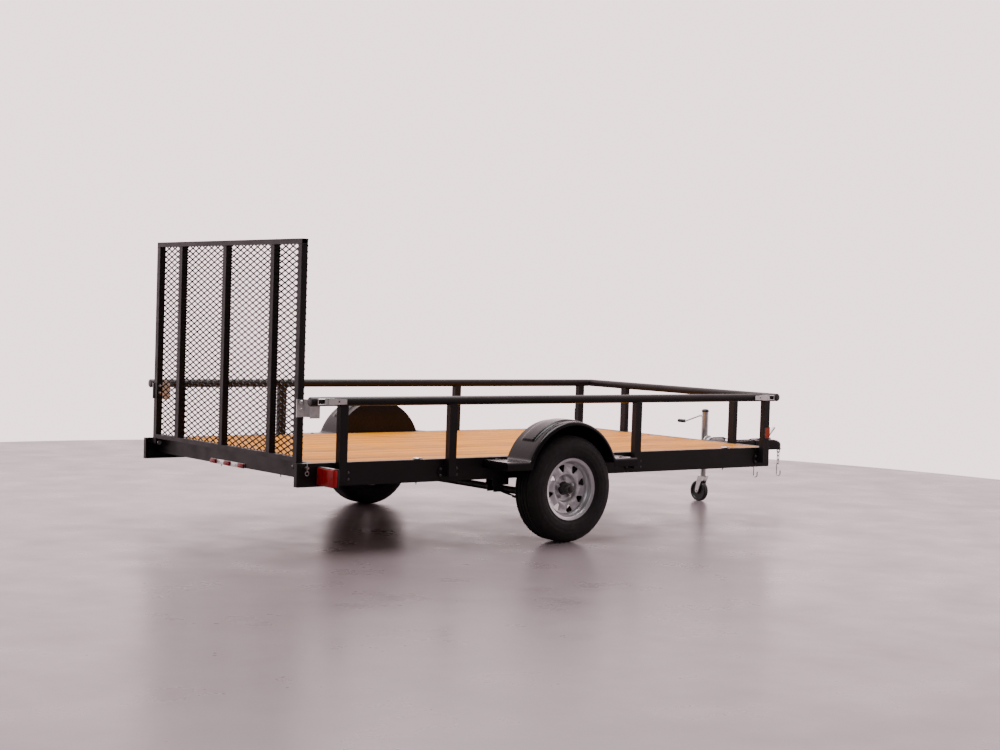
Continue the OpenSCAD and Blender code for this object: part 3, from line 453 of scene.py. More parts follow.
# %% Turn a ring or a solid on a lathe
def lathe(shape, profile, centre, axis, steps=48, closed=True):
    """Turns (radius, offset along axis) points, in metres, about an axis through centre."""
    axis = Vector(axis).normalized()
    side, front = square_axes(axis)
    rings = []
    for radius, offset in profile:
        if radius < 1e-6:
            rings.append([shape.verts.new(Vector(centre) + axis * offset)])
            continue
        rings.append(circle(shape, Vector(centre) + axis * offset, radius, side, front, steps))
    pairs = list(zip(rings, rings[1:])) + ([(rings[-1], rings[0])] if closed else [])
    for one, two in pairs:
        for k in range(steps):
            n = (k + 1) % steps
            corners = [one[k % len(one)], one[n % len(one)], two[n % len(two)], two[k % len(two)]]
            unique = []
            for corner in corners:
                if corner not in unique:
                    unique.append(corner)
            if len(unique) > 2:
                shape.faces.new(unique)


# %% Add a block with softened edges
def block(shape, low, high, soft=0.001):
    """A box between two corners, its edges rounded by soft metres."""
    low, high = Vector(low), Vector(high)
    made = bmesh.ops.create_cube(shape, size=1)["verts"]
    for v in made:
        v.co = Vector(((low[i] + high[i]) / 2 + v.co[i] * (high[i] - low[i]) for i in range(3)))
    edges = {e for v in made for e in v.link_edges}
    bmesh.ops.bevel(shape, geom=list(edges), offset=soft, segments=2, affect="EDGES", profile=0.6)


print("lathe and block are ready")


# %% Add bolts and nuts
def hexagon(shape, centre, axis, across=0.017, tall=0.008, twist=0.0):
    """A hexagon head or nut with its corners chamfered, standing on centre."""
    axis = Vector(axis).normalized()
    side, front = square_axes(axis)
    reach = across / 2 / math.cos(math.pi / 6)
    rings = []
    for scale, rise in ((1.0, 0), (1.0, tall * 0.82), (0.86, tall)):
        rings.append(circle(shape, Vector(centre) + axis * rise, reach * scale, side, front, 6, twist))
    skin(shape, rings)
    shape.faces.new(rings[0])
    shape.faces.new(rings[-1])


def bolt(shape, centre, axis, size=0.010, stub=0.0, twist=0.3):
    """A hexagon bolt head on a washer; stub adds a threaded end beyond it."""
    axis = Vector(axis).normalized()
    lathe(shape, [(0, 0), (size * 1.05, 0), (size * 1.05, 0.0018), (0, 0.0018)], centre, axis, 20,
          closed=False)
    hexagon(shape, Vector(centre) + axis * 0.0018, axis, size * 1.6, size * 0.68, twist)
    if stub:
        top = 0.0018 + size * 0.68
        lathe(shape, [(0, top - 0.001), (size * 0.48, top - 0.001), (size * 0.48, top + stub - 0.001),
                      (size * 0.40, top + stub), (0, top + stub)], centre, axis, 16, closed=False)


def carriage_head(shape, centre, axis, size=0.010):
    """The low dome of a carriage bolt."""
    r = size * 1.1
    dome = [(r * math.cos(a), r * 0.62 * math.sin(a)) for a in (math.pi / 2 * k / 6 for k in range(7))]
    lathe(shape, [(0, 0), (r, 0)] + dome[1:-1] + [(0, r * 0.62)], centre, axis, 20, closed=False)


print("bolts are ready")

# %% [markdown]
# ## Deck planks
#
# Planks have sawn ends and slightly eased long edges, and no two lie at quite the same height. Each plank
# is a block with softened edges, and random numbers lower it and shorten it by up to a few millimetres.

# %% Lay the planks
deck = bmesh.new()
for k in range(PLANKS):
    y0 = plank_low.y + k * PLANK_PITCH
    sink = random.uniform(0.0, 0.0012)
    block(deck, (plank_low.x + random.uniform(0, 0.003), y0, plank_low.z),
          (plank_high.x - random.uniform(0, 0.003), y0 + PLANK_WIDTH, plank_high.z - sink), soft=0.003)
piece("deck_planks", deck, pine, "chassis", ["deck_boards"])
print(PLANKS, "planks, each", round(plank_high.x - plank_low.x, 3), "m long")

# %% [markdown]
# ## The gate's wire
#
# Expanded metal is one sheet, slit and pulled open into diamonds. Its strands are short flat bars that all
# lean the same way, which makes one face of it catch the light. Here every strand is its own thin bar
# between two joints of a diamond grid, and the whole panel stands for the plain sheet in the CAD.

# %% Pull the gate's mesh open
mesh_low, mesh_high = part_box("gate_mesh")
DIAMOND_WIDE, DIAMOND_HIGH = 0.0763, 0.0330
STRAND_WIDE, STRAND_THICK, STRAND_LEAN = 0.0066, 0.0044, 0.25
across = round((mesh_high.y - mesh_low.y) / (DIAMOND_WIDE / 2))
rows = round((mesh_high.z - mesh_low.z) / (DIAMOND_HIGH / 2))
step_y = (mesh_high.y - mesh_low.y) / across
step_z = (mesh_high.z - mesh_low.z) / rows
middle_x = (mesh_low.x + mesh_high.x) / 2


def strand(shape, start, end, wide, thick):
    along = (end - start).normalized()
    flat = Vector((1, 0, 0))
    edge = along.cross(flat)
    one = (edge * math.cos(STRAND_LEAN) + flat * math.sin(STRAND_LEAN)) * wide / 2
    two = (flat * math.cos(STRAND_LEAN) - edge * math.sin(STRAND_LEAN)) * thick / 2
    corners = [one + two, one - two, -one - two, -one + two]
    near = [shape.verts.new(start + c) for c in corners]
    far = [shape.verts.new(end + c) for c in corners]
    skin(shape, [near, far])


wire = bmesh.new()
for i in range(across):
    for j in range(rows + 1):
        if (i + j) % 2:
            continue
        start = Vector((middle_x, mesh_low.y + i * step_y, mesh_low.z + j * step_z))
        for rise in (-1, 1):
            if 0 <= j + rise <= rows:
                strand(wire, start, start + Vector((0, step_y, rise * step_z)), STRAND_WIDE, STRAND_THICK)
print("the mesh has", len(wire.faces) // 4, "strands in", across, "by", rows, "half diamonds")
piece("gate_expanded_metal", wire, powder_coat, "gate", ["gate_mesh"], smooth=20)

# %% [markdown]
# ## Tyres
#
# A trailer tyre has plain circumferential ribs, because it only follows. The rubber is turned on a lathe
# from one closed profile: bead, sidewall with a few fine rings, shoulder, and a tread with four grooves.
# Short cuts along the edge of the shoulder ribs are then pressed in by moving some of the rings' points.

# %% Turn the tyres
wheel_x, wheel_y, wheel_z = (sum(pair) / 2 for pair in zip(*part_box("tyre_left")))
TYRE_STEPS = 160
half_side = [
    (0.1665, 0.0600), (0.1690, 0.0662), (0.1750, 0.0690), (0.1815, 0.0695), (0.1838, 0.0735),
             (0.1865, 0.0768),
    (0.1905, 0.0788), (0.1925, 0.0786), (0.1945, 0.0800), (0.2010, 0.0845), (0.2060, 0.0868),
             (0.2075, 0.0882),
    (0.2095, 0.0882), (0.2110, 0.0884), (0.2220, 0.0908), (0.2330, 0.0920), (0.2420, 0.0922),
             (0.2440, 0.0917),
    (0.2455, 0.0917), (0.2475, 0.0922), (0.2560, 0.0918), (0.2650, 0.0905), (0.2720, 0.0888),
             (0.2735, 0.0878),
    (0.2750, 0.0878), (0.2765, 0.0876), (0.2850, 0.0845), (0.2930, 0.0800), (0.2990, 0.0750),
             (0.3040, 0.0695),
    (0.3075, 0.0640), (0.3088, 0.0622), (0.3105, 0.0610), (0.3118, 0.0560), (0.3124, 0.0480)]
ribs = [(0.3126, 0.0470), (0.3050, 0.0455), (0.3050, 0.0385), (0.3128, 0.0370), (0.3130, 0.0180),
        (0.3052, 0.0165), (0.3052, 0.0095), (0.3130, 0.0080)]
outside = half_side + ribs
tyre_profile = outside + [(r, -s) for r, s in reversed(outside)]
for side, sign in SIDES:
    rubber = bmesh.new()
    lathe(rubber, tyre_profile, (wheel_x, sign * wheel_y, wheel_z), (0, 1, 0), TYRE_STEPS)
    for v in rubber.verts:
        spoke = Vector((v.co.x - wheel_x, 0, v.co.z - wheel_z))
        offset = abs(v.co.y - sign * wheel_y)
        turn = round((math.atan2(spoke.z, spoke.x) % (2 * math.pi)) / (2 * math.pi) * TYRE_STEPS)
        if turn % 4 == 0 and 0.0600 < offset < 0.0655 and spoke.length > 0.3070:
            v.co -= spoke.normalized() * 0.0040
    piece("tyre_with_tread_" + side, rubber, tyre_rubber, "wheel_" + side, ["tyre_" + side],
          smooth=34)
print("each tyre is", round(2 * max(r for r, _ in tyre_profile), 3), "m across")

# %% [markdown]
# ## Wheels
#
# The wheel is two pressings: a rolled barrel with a stepped flange, and a dished disc with eight hand holes.
# The barrel is turned. The disc is made as eight equal sectors: in each, a loop round the sector is joined
# to a loop round its hole, and every point then takes its height from the dish's own curve, so the hole's
# edge follows the dish. A second skin behind it gives the sheet its thickness.


# %% Press the wheel disc
def dish(radius):
    """Height of the disc's outer skin above the wheel's middle plane, by radius."""
    curve = [(0.040, 0.0060), (0.068, 0.0060), (0.074, 0.0085), (0.080, 0.0220), (0.085, 0.0285),
             (0.090, 0.0300),
             (0.097, 0.0290), (0.126, 0.0235), (0.134, 0.0240), (0.140, 0.0275), (0.145, 0.0285),
             (0.150, 0.0265)]
    for (r0, h0), (r1, h1) in zip(curve, curve[1:]):
        if radius <= r1:
            t = max(0.0, min(1.0, (radius - r0) / (r1 - r0)))
            return h0 + (h1 - h0) * t
    return curve[-1][1]


def hole_loop(count):
    """A triangle with rounded corners, its wide side outward, as (radius, angle) points."""
    corners = [(0.1430, 0.0270), (0.1430, -0.0270), (0.0900, 0.0)]
    rounds = [0.0090, 0.0090, 0.0085]
    loop = []
    for k, (x, y) in enumerate(corners):
        before, after = Vector(corners[k - 1]), Vector(corners[(k + 1) % 3])
        here = Vector((x, y))
        one, two = (before - here).normalized(), (after - here).normalized()
        half = math.acos(one.dot(two)) / 2
        middle = here + (one + two).normalized() * (rounds[k] / math.sin(half))
        a0 = math.atan2(*(reversed((here + one * rounds[k] / math.tan(half) - middle)[:])))
        a1 = math.atan2(*(reversed((here + two * rounds[k] / math.tan(half) - middle)[:])))
        sweep = (a1 - a0 + math.pi) % (2 * math.pi) - math.pi
        for n in range(count // 3):
            a = a0 + sweep * n / (count // 3 - 1)
            loop.append(Vector((middle.x + rounds[k] * math.cos(a), middle.y + rounds[k] * math.sin(a))))
    return loop


def sector_loop(inner, outer, count):
    """The edge of one eighth of the ring between two radii, count points, as flat (x, y)."""
    wide = math.pi / 8
    parts = [(lambda t: (outer, wide - 2 * wide * t)), (lambda t: (outer + (inner - outer) * t, -wide)),
             (lambda t: (inner, -wide + 2 * wide * t)), (lambda t: (inner + (outer - inner) * t, wide))]
    shares = [count * 3 // 8, count // 8, count * 3 // 8, count // 8]
    loop = []
    for part, share in zip(parts, shares):
        for n in range(share):
            r, a = part(n / share)
            loop.append(Vector((r * math.cos(a), r * math.sin(a))))
    return loop


hole = hole_loop(48)
edge = sector_loop(0.083, 0.1485, 48)
start_angle = math.atan2(edge[0].y, edge[0].x - 0.120)
hole.sort(key=lambda p: -((math.atan2(p.y, p.x - 0.120) - start_angle - 1e-6) % (2 * math.pi)))
print("a hand hole is", round(2000 * max(p.y for p in hole)), "mm wide")


# %% Build each wheel
def wheel_disc(shape, centre, sign):
    def at(x, y, depth):
        r = math.hypot(x, y)
        return Vector((centre.x + x, centre.y + sign * (dish(r) - depth), centre.z + y))

    for depth in (0.0, 0.0035):
        for k in range(8):
            c, s = math.cos(math.pi / 4 * k + 0.25), math.sin(math.pi / 4 * k + 0.25)
            loops = []
            for t in (0, 0.35, 0.7, 0.92, 1.0):
                loop = []
                for e, h in zip(edge, hole):
                    p = e.lerp(h, t)
                    lift = 0.0022 * max(0, (t - 0.7) / 0.3) if depth == 0 else 0
                    loop.append(shape.verts.new(at(p.x * c - p.y * s, p.x * s + p.y * c, depth + lift)))
                loops.append(loop)
            skin(shape, loops)
    bmesh.ops.remove_doubles(shape, verts=shape.verts, dist=0.00002)


barrel = [(0.1800, 0.0755), (0.1822, 0.0758), (0.1835, 0.0740), (0.1832, 0.0722), (0.1812, 0.0708),
          (0.1735, 0.0704),
          (0.1690, 0.0682), (0.1662, 0.0640), (0.1650, 0.0600), (0.1648, 0.0420), (0.1600, 0.0360),
          (0.1535, 0.0300),
          (0.1530, 0.0260), (0.1530, -0.0280), (0.1560, -0.0330), (0.1648, -0.0420), (0.1650, -0.0600),
          (0.1662, -0.0640), (0.1690, -0.0682), (0.1735, -0.0704), (0.1812, -0.0708), (0.1832, -0.0722),
          (0.1835, -0.0740), (0.1822, -0.0758), (0.1800, -0.0755), (0.1770, -0.0740), (0.1700, -0.0735),
          (0.1650, -0.0712), (0.1618, -0.0660), (0.1612, -0.0600), (0.1610, -0.0440), (0.1530, -0.0345),
          (0.1498, -0.0290), (0.1498, 0.0270), (0.1510, 0.0320), (0.1575, 0.0385), (0.1612, 0.0440),
          (0.1614, 0.0600),
          (0.1618, 0.0655), (0.1650, 0.0700), (0.1700, 0.0730), (0.1770, 0.0740)]
centre_dish = [(0.0405, 0.0060), (0.0660, 0.0060), (0.0690, 0.0062), (0.0735, 0.0082), (0.0768, 0.0130),
               (0.0800, 0.0220),
               (0.0830, 0.0257), (0.0830, 0.0222), (0.0790, 0.0150), (0.0740, 0.0040), (0.0690, 0.0025),
               (0.0405, 0.0022)]
outer_dish = [(0.1480, 0.0273), (0.1492, 0.0258), (0.1497, 0.0235), (0.1497, 0.0150), (0.1468, 0.0150),
              (0.1466, 0.0232), (0.1475, 0.0238)]
for side, sign in SIDES:
    centre = Vector((wheel_x, sign * wheel_y, wheel_z))
    wheel = bmesh.new()
    for ring in (barrel, centre_dish, outer_dish):
        lathe(wheel, [(r, sign * s) for r, s in ring], centre, (0, 1, 0), 128)
    pressed = bmesh.new()
    wheel_disc(pressed, centre, sign)
    scratch = bpy.data.meshes.new("scratch")
    pressed.to_mesh(scratch)
    pressed.free()
    wheel.from_mesh(scratch)
    bpy.data.meshes.remove(scratch)
    piece("wheel_rim_" + side, wheel, wheel_paint, "wheel_" + side, ["rim_" + side], smooth=42)
print("two wheels with eight hand holes each")

# %% Line the wheels' backs with painted shade
# The back of each wheel's barrel gets a dark liner that is painted shade: it darkens what shows through the hand
# holes.
back = [(0.1606, -0.0600), (0.1602, -0.0438), (0.1524, -0.0340), (0.1492, -0.0285), (0.1490, 0.0130)]
back += [(r - 0.0006, s) for r, s in reversed(back)]
for side, sign in SIDES:
    shade_liner = bmesh.new()
    lathe(shade_liner, [(r, sign * s) for r, s in back], (wheel_x, sign * wheel_y, wheel_z), (0, 1, 0), 96)
    piece("wheel_back_painted_shade_" + side, shade_liner, chassis_enamel, "wheel_" + side)
print("the wheels' backs are coated")

# %% [markdown]
# ## Lug nuts, hub caps and axle ends
#
# Five studs come through the disc with cone-seated nuts. The hub's barrel stands proud of the disc, and a
# pressed cap keeps the bearing's grease in, with a rubber plug in its middle for the grease gun.

# %% Dress the hubs
LUGS, STUD_CIRCLE = 5, 0.05715
for side, sign in SIDES:
    face = Vector((wheel_x, sign * (wheel_y + 0.006), wheel_z))
    out = Vector((0, sign, 0))
    nuts = bmesh.new()
    for k in range(LUGS):
        a = 2 * math.pi * k / LUGS + 0.35
        seat = face + Vector((STUD_CIRCLE * math.cos(a), 0, STUD_CIRCLE * math.sin(a)))
        lathe(nuts, [(0, 0), (0.0105, 0), (0.0118, 0.004), (0, 0.004)], seat, out, 24, closed=False)
        hexagon(nuts, seat + out * 0.0035, out, 0.0205, 0.0150, twist=a)
        lathe(nuts, [(0, 0.017), (0.0060, 0.017), (0.0060, 0.0235), (0.0052, 0.0245), (0, 0.0245)], seat, out,
              20,
              closed=False)
    piece("lug_nuts_" + side, nuts, zinc_plate, "wheel_" + side)
    plug = bmesh.new()
    tip = Vector((wheel_x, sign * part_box("hub_" + side)[0 if sign < 0 else 1].y * sign, wheel_z))
    lathe(plug, [(0, -0.003), (0.0165, -0.003), (0.0175, -0.0005), (0.0170, 0.0015), (0.0150, 0.0025),
                 (0.0060, 0.0030),
                 (0, 0.0030)], tip, out, 40, closed=False)
    piece("hub_cap_plug_" + side, plug, black_plastic, "wheel_" + side)
print("ten lug nuts and two cap plugs")

# %% [markdown]
# ## Fenders
#
# A fender is one pressing. Seen from its end, the sheet runs out from the frame, rises a little to a raised
# band, and rolls over a soft shoulder into a lip. Seen from its side, it is a flat foot, an arch and a second
# foot. So the sheet is a grid: one list of stations goes over the arch, another goes across it, and every
# point comes from the pair. The grid then gets its thickness, and a flat plate closes the arch at the frame.

# %% Lay out the fender's stations
fender_low, fender_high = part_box("fender_left")
FENDER_Z, FENDER_R, FOOT_Z, LIP_Z = 0.365, 0.3455, 0.4850, 0.4370
FENDER_HALF, FENDER_WIDE, LIP_R = 0.500, fender_high.y - fender_low.y, 0.3250
ARCH_START = math.asin((FOOT_Z - FENDER_Z) / FENDER_R)
LIP_START = math.asin((LIP_Z - FENDER_Z) / LIP_R)


def over_the_arch():
    """(top x, top z, lip x, lip z, angle) from the front foot over the arch to the rear foot."""
    turn_in = FENDER_R * math.cos(ARCH_START)
    lip_in = LIP_R * math.cos(LIP_START)
    half = []
    for t in (0.0, 0.02, 0.3, 0.6, 0.85):
        half.append((FENDER_HALF + (turn_in + 0.022 - FENDER_HALF) * t, FOOT_Z,
                     FENDER_HALF + (lip_in + 0.012 - FENDER_HALF) * t, LIP_Z, 0.0))
    blend = ARCH_START + 0.055
    corner = Vector((turn_in, FOOT_Z))
    one, two = Vector((turn_in + 0.022, FOOT_Z)), Vector((FENDER_R * math.cos(blend),
                                                          FENDER_Z + FENDER_R * math.sin(blend)))
    for k in range(7):
        t = k / 6
        top = one * (1 - t) ** 2 + corner * 2 * t * (1 - t) + two * t * t
        a = LIP_START + (blend - LIP_START) * t ** 1.3
        low = Vector((LIP_R * math.cos(a), FENDER_Z + LIP_R * math.sin(a)))
        half.append((top.x, top.y, low.x, low.y, blend * t))
    ring = [blend + (math.radians(40.5) - blend) * k / 6 for k in range(1, 7)]
    ring += [math.radians(a) for a in (41, 41.6, 42.2, 42.8, 43.5, 44)]
    ring += [math.radians(44 + 46 * k / 18) for k in range(1, 19)]
    for a in ring:
        half.append((FENDER_R * math.cos(a), FENDER_Z + FENDER_R * math.sin(a),
                     LIP_R * math.cos(a), FENDER_Z + LIP_R * math.sin(a), a))
    return half + [(-x, z, -lx, lz, a) for x, z, lx, lz, a in reversed(half[:-1])]


def smooth_step(value, low, high):
    t = max(0.0, min(1.0, (value - low) / (high - low)))
    return t * t * (3 - 2 * t)


STATIONS = over_the_arch()
print(len(STATIONS), "stations over the arch")


# %% Press the fenders
SHOULDER = 0.016
across_list = [0.0, 0.020, 0.044, 0.048, 0.052, 0.056, 0.060, 0.085, 0.120, 0.146, 0.150, 0.154, 0.158, 0.162,
               0.185]
for side, sign in SIDES:
    sheet = bmesh.new()
    rows = []
    for x, z, lip_x, lip_z, angle in STATIONS:
        top, low = Vector((x, 0, z)), Vector((lip_x, 0, lip_z))
        down = (low - top).normalized()
        band = smooth_step(angle, math.radians(41), math.radians(43.5))
        row = []
        for y in across_list:
            lift = 0.0095 * band * smooth_step(y, 0.046, 0.058) * (1 - smooth_step(y, 0.150, 0.162))
            row.append(top - down * lift + Vector((0, y, 0)))
        for k in range(7):
            a = math.pi / 2 * k / 6
            row.append(top + Vector((0, FENDER_WIDE - SHOULDER + SHOULDER * math.sin(a), 0))
                       + down * SHOULDER * (1 - math.cos(a)))
        row.append(low + Vector((0, FENDER_WIDE, 0)))
        rows.append([sheet.verts.new(Vector((wheel_x + p.x, sign * (fender_low.y + p.y), p.z))) for p in row])
    skin(sheet, rows, closed=False)
    thicken(sheet, 0.003)
    low_y, high_y = sorted((sign * fender_low.y, sign * (fender_low.y + 0.003)))
    outline = [(wheel_x + x, z - 0.002) for x, z, _, _, _ in STATIONS]
    outline += [(outline[-1][0], LIP_Z), (outline[0][0], LIP_Z)]
    plates = [[sheet.verts.new((x, y, z)) for x, z in outline] for y in (low_y, high_y)]
    for loop in plates:
        sheet.faces.new(loop)
    skin(sheet, plates)
    for end in (-1, 1):
        x0, x1 = sorted((wheel_x + end * (FENDER_HALF - 0.0002), wheel_x + end * (FENDER_HALF - 0.0032)))
        y0, y1 = sorted((sign * (fender_low.y + 0.001), sign * (fender_low.y + FENDER_WIDE - 0.006)))
        block(sheet, (x0, y0, LIP_Z + 0.001), (x1, y1, FOOT_Z - 0.0015), soft=0.001)
    for end in (-1, 1):
        for y in (0.040, 0.150):
            carriage_head(sheet, (wheel_x + end * 0.430, sign * (fender_low.y + y), FOOT_Z - 0.0005),
                          (0, 0, 1), 0.009)
    piece("fender_pressed_" + side, sheet, gloss_enamel, "chassis", ["fender_" + side],
          smooth=50)
print("two fenders,", round(FENDER_WIDE * 1000), "mm wide")

# %% [markdown]
# ## Lamps
#
# A tail lamp is a black box with a red lens in front and a narrow clear window on top of it, which lights
# the plate. The three small lamps on the rear beam are riveted to a plated strip.

# %% Build the tail lamps
clear_lens = new_material("acrylic_lens_clear", "#b9b4ae", 0.25, Coat_Weight=0.5)
weather(clear_lens, rough=(6, 3, 0.18, 0.34))
for side, sign in SIDES:
    low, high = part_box("tail_light_" + side)
    lens, case = bmesh.new(), bmesh.new()
    y0, y1 = low.y, high.y
    outer, inner = (y1, y0) if sign > 0 else (y0, y1)
    block(case, (high.x - 0.010, y0, low.z), (high.x, y1, high.z), soft=0.003)
    across_y = sorted((inner, outer - sign * 0.003))
    block(case, (low.x + 0.006, across_y[0], low.z), (high.x - 0.004, across_y[1], high.z), soft=0.003)
    across_y = sorted((inner + sign * 0.006, outer))
    block(lens, (low.x, across_y[0], low.z + 0.005), (high.x - 0.011, across_y[1], high.z - 0.005),
          soft=0.005)
    for k in range(4):
        y = y0 + 0.030 + k * (y1 - y0 - 0.060) / 3
        block(case, (low.x - 0.0008, y - 0.0006, low.z + 0.014), (low.x + 0.001, y + 0.0006, high.z - 0.014),
              soft=0.0002)
    piece("tail_lamp_lens_" + side, lens, red_lens, "chassis", ["tail_light_" + side])
    for y in (y0 + 0.016, y1 - 0.016):
        carriage_head(case, (low.x + 0.0006, y, (low.z + high.z) / 2), (-1, 0, 0), 0.0045)
    piece("tail_lamp_case_" + side, case, black_plastic, "chassis")
    window = bmesh.new()
    block(window, (low.x + 0.015, y0 + 0.020, high.z - 0.001), (high.x - 0.010, y1 - 0.020, high.z + 0.0006),
          soft=0.0005)
    piece("tail_lamp_window_" + side, window, clear_lens, "chassis")
print("two tail lamps")

# %% Build the light bar
LAMP_PITCH = 0.162
low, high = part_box("id_lights")
strip, lamps, dots = bmesh.new(), bmesh.new(), bmesh.new()
block(strip, (high.x - 0.002, low.y, low.z), (high.x, high.y, high.z), soft=0.0006)
for k in (-1, 0, 1):
    y = k * LAMP_PITCH
    block(lamps, (low.x + 0.004, y - 0.032, low.z + 0.0035), (high.x - 0.002, y + 0.032, high.z - 0.0035),
          soft=0.004)
    block(lamps, (high.x - 0.006, y - 0.035, low.z + 0.001), (high.x - 0.002, y + 0.035, high.z - 0.001),
          soft=0.001)
    for offset in (-0.0295, 0.0295):
        lathe(dots, [(0, 0), (0.0026, 0), (0.0022, 0.0014), (0, 0.0018)],
              (low.x + 0.0055, y + offset, (low.z + high.z) / 2), (-1, 0, 0), 16, closed=False)
for y in (-0.10, 0.10):
    carriage_head(strip, (high.x - 0.0018, y, (low.z + high.z) / 2), (-1, 0, 0), 0.005)
piece("light_bar_lamps", lamps, red_lens, "chassis", ["id_lights"])
piece("light_bar_strip", strip, zinc_plate, "chassis")
piece("light_bar_screws", dots, black_plastic, "chassis")
print("a light bar with three lamps")

# %% [markdown]
# ## Coupler
#
# The coupler is pressed from thick sheet: a channel that fits over the tongue and runs forward into a round
# nose over the hitch ball. Its top slopes down to the nose and its long edges are rolled. It is a grid too:
# a half width and a height for each station along the tongue, and the same rolled edge at each of them.

# %% Press the coupler
coupler_low, coupler_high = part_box("coupler")
BALL_X, SIDE, SKIRT = coupler_high.x - 0.0470, 0.0423, coupler_low.z
shell = bmesh.new()
stations = [coupler_low.x + (BALL_X - coupler_low.x) * k / 14 for k in range(15)]
stations += [BALL_X + (SIDE - 0.0004) * math.sin(math.pi / 2 * k / 10) for k in range(1, 11)]
rows = []
for x in stations:
    wide = SIDE if x <= BALL_X else math.sqrt(max(SIDE ** 2 - (x - BALL_X) ** 2, 0.0002 ** 2))
    slope = smooth_step(x, coupler_high.x - 0.102, coupler_high.x + 0.020)
    top = coupler_high.z - 0.026 * slope
    roll = min(0.014 + 0.010 * slope, wide * 0.98)
    half = [(wide, SKIRT), (wide, (SKIRT + top - roll) / 2)]
    half += [(wide - roll + roll * math.cos(a), top - roll + roll * math.sin(a))
             for a in (math.pi / 2 * k / 6 for k in range(7))]
    profile = half + [(0.0, top + 0.0004)] + [(-y, z) for y, z in reversed(half)]
    rows.append([shell.verts.new((x, y, z)) for y, z in profile])
skin(shell, rows, closed=False)
bmesh.ops.remove_doubles(shell, verts=shell.verts, dist=0.00005)
thicken(shell, 0.0038)
rim = [(SIDE - 0.001, SKIRT), (SIDE + 0.0047, SKIRT), (SIDE + 0.0047, SKIRT + 0.005),
       (SIDE + 0.001, SKIRT + 0.0075),
       (SIDE - 0.001, SKIRT + 0.0075)]
lathe(shell, rim, (BALL_X, 0, 0), (0, 0, 1), 64)
cup = [(0.0259 * math.cos(a), 0.4229 + 0.0259 * math.sin(a)) for a in (math.pi / 2 * k / 8 for k in range(9))]
cup = [(0.0259, SKIRT + 0.002)] + cup[:-1] + [(0, 0.4488)] + [(0, 0.4500), (0.0180, 0.4470), (0.0275, 0.4340),
                                                            (0.0290, 0.4229), (0.0290, SKIRT + 0.002)]
lathe(shell, cup, (BALL_X, 0, 0), (0, 0, 1), 48)
for x in (coupler_low.x + 0.030, coupler_low.x + 0.100):
    for sign in (-1, 1):
        bolt(shell, (x, sign * SIDE, 0.415), (0, sign, 0), 0.010, twist=x)
piece("coupler_pressed", shell, gloss_enamel, "chassis", ["coupler"], smooth=50)
print("the coupler is", round(coupler_high.x - coupler_low.x, 3), "m long")

# %% [markdown]
# ## Bolts, nuts and welds
#
# The posts and their plates bolt to the frame, so a damaged one can be changed. Each plate has two bolts on
# each side of its post. The U-bolts that hold the springs to the axle end in nuts under their plates, and
# the planks are held to every cross member by two screws each.

# %% Fit the bolts of the posts
bolts = bmesh.new()
PLATE_Z, BOLT_ALONG, BOLT_RISE = 0.423, 0.0565, 0.018
post_places = [-2.112, -1.379, 0.043, 1.192]
plate_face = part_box("post_plates_left")[1].y
for sign in (-1, 1):
    for x in post_places:
        for dx in (-BOLT_ALONG, BOLT_ALONG):
            for dz in (-BOLT_RISE, BOLT_RISE):
                bolt(bolts, (x + dx, sign * plate_face, PLATE_Z + dz), (0, sign, 0), 0.008,
                     twist=random.random())
front_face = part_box("post_plates_front")[1].x
for y in (-0.546, 0.546):
    for dy in (-BOLT_ALONG, BOLT_ALONG):
        for dz in (-BOLT_RISE, BOLT_RISE):
            bolt(bolts, (front_face, y + dy, PLATE_Z + dz), (1, 0, 0), 0.008, twist=random.random())
piece("post_bolts", bolts, hub_paint, "chassis")
print("bolts on", 2 * len(post_places) + 2, "plates")

# %% Fit the nuts of the U-bolts and the hanger pins
SPRING_Y = 0.878
nuts = bmesh.new()
clamp_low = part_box("axle_clamps")[0].z
for sign in (-1, 1):
    for dx in (-0.029, 0.029):
        for dy in (-0.028, 0.028):
            hexagon(nuts, (wheel_x + dx, sign * SPRING_Y + dy, clamp_low + 0.0135), (0, 0, -1), 0.017, 0.009,
                    twist=dx)
    for x, z in ((wheel_x + 0.345, 0.3062), (wheel_x - 0.390, 0.3092)):
        for dy, way in ((0.034, 1), (-0.034, -1)):
            hexagon(nuts, (x, sign * SPRING_Y + dy, z), (0, way, 0), 0.019, 0.008, twist=x)
piece("running_gear_nuts", nuts, chassis_enamel, "chassis")
print("nuts on the running gear")

# %% Drive the deck screws
screws = bmesh.new()
for x in (-2.295, -1.78, -1.18, -0.58, 0.02, 0.62, 1.205):
    for k in range(PLANKS):
        for share in (0.25, 0.75):
            y = plank_low.y + k * PLANK_PITCH + PLANK_WIDTH * share
            lathe(screws, [(0, -0.002), (0.0046, -0.002), (0.0048, -0.0009), (0.0040, -0.0004), (0, -0.0006)],
                  (x + random.uniform(-0.004, 0.004) + 0.02, y + random.uniform(-0.004, 0.004), plank_high.z),
                  (0, 0, 1), 12,
                  closed=False)
piece("deck_screws", screws, chassis_enamel, "chassis")
print("deck screws done")


# %% Lay the weld beads
def weld(shape, start, end, radius=0.003):
    """A bead of overlapping ripples between two points."""
    start, end = Vector(start), Vector(end)
    count = max(3, int((end - start).length / 0.003))
    side, front = square_axes(end - start)
    rings = []
    for k in range(count + 1):
        r = radius * (0.86 + 0.14 * (k % 2)) * (0.35 if k in (0, count) else 1.0)
        spot = start.lerp(end, k / count)
        rings.append(circle(shape, spot, r, side, front, 8))
    skin(shape, rings)
    shape.faces.new(rings[0])
    shape.faces.new(rings[-1])


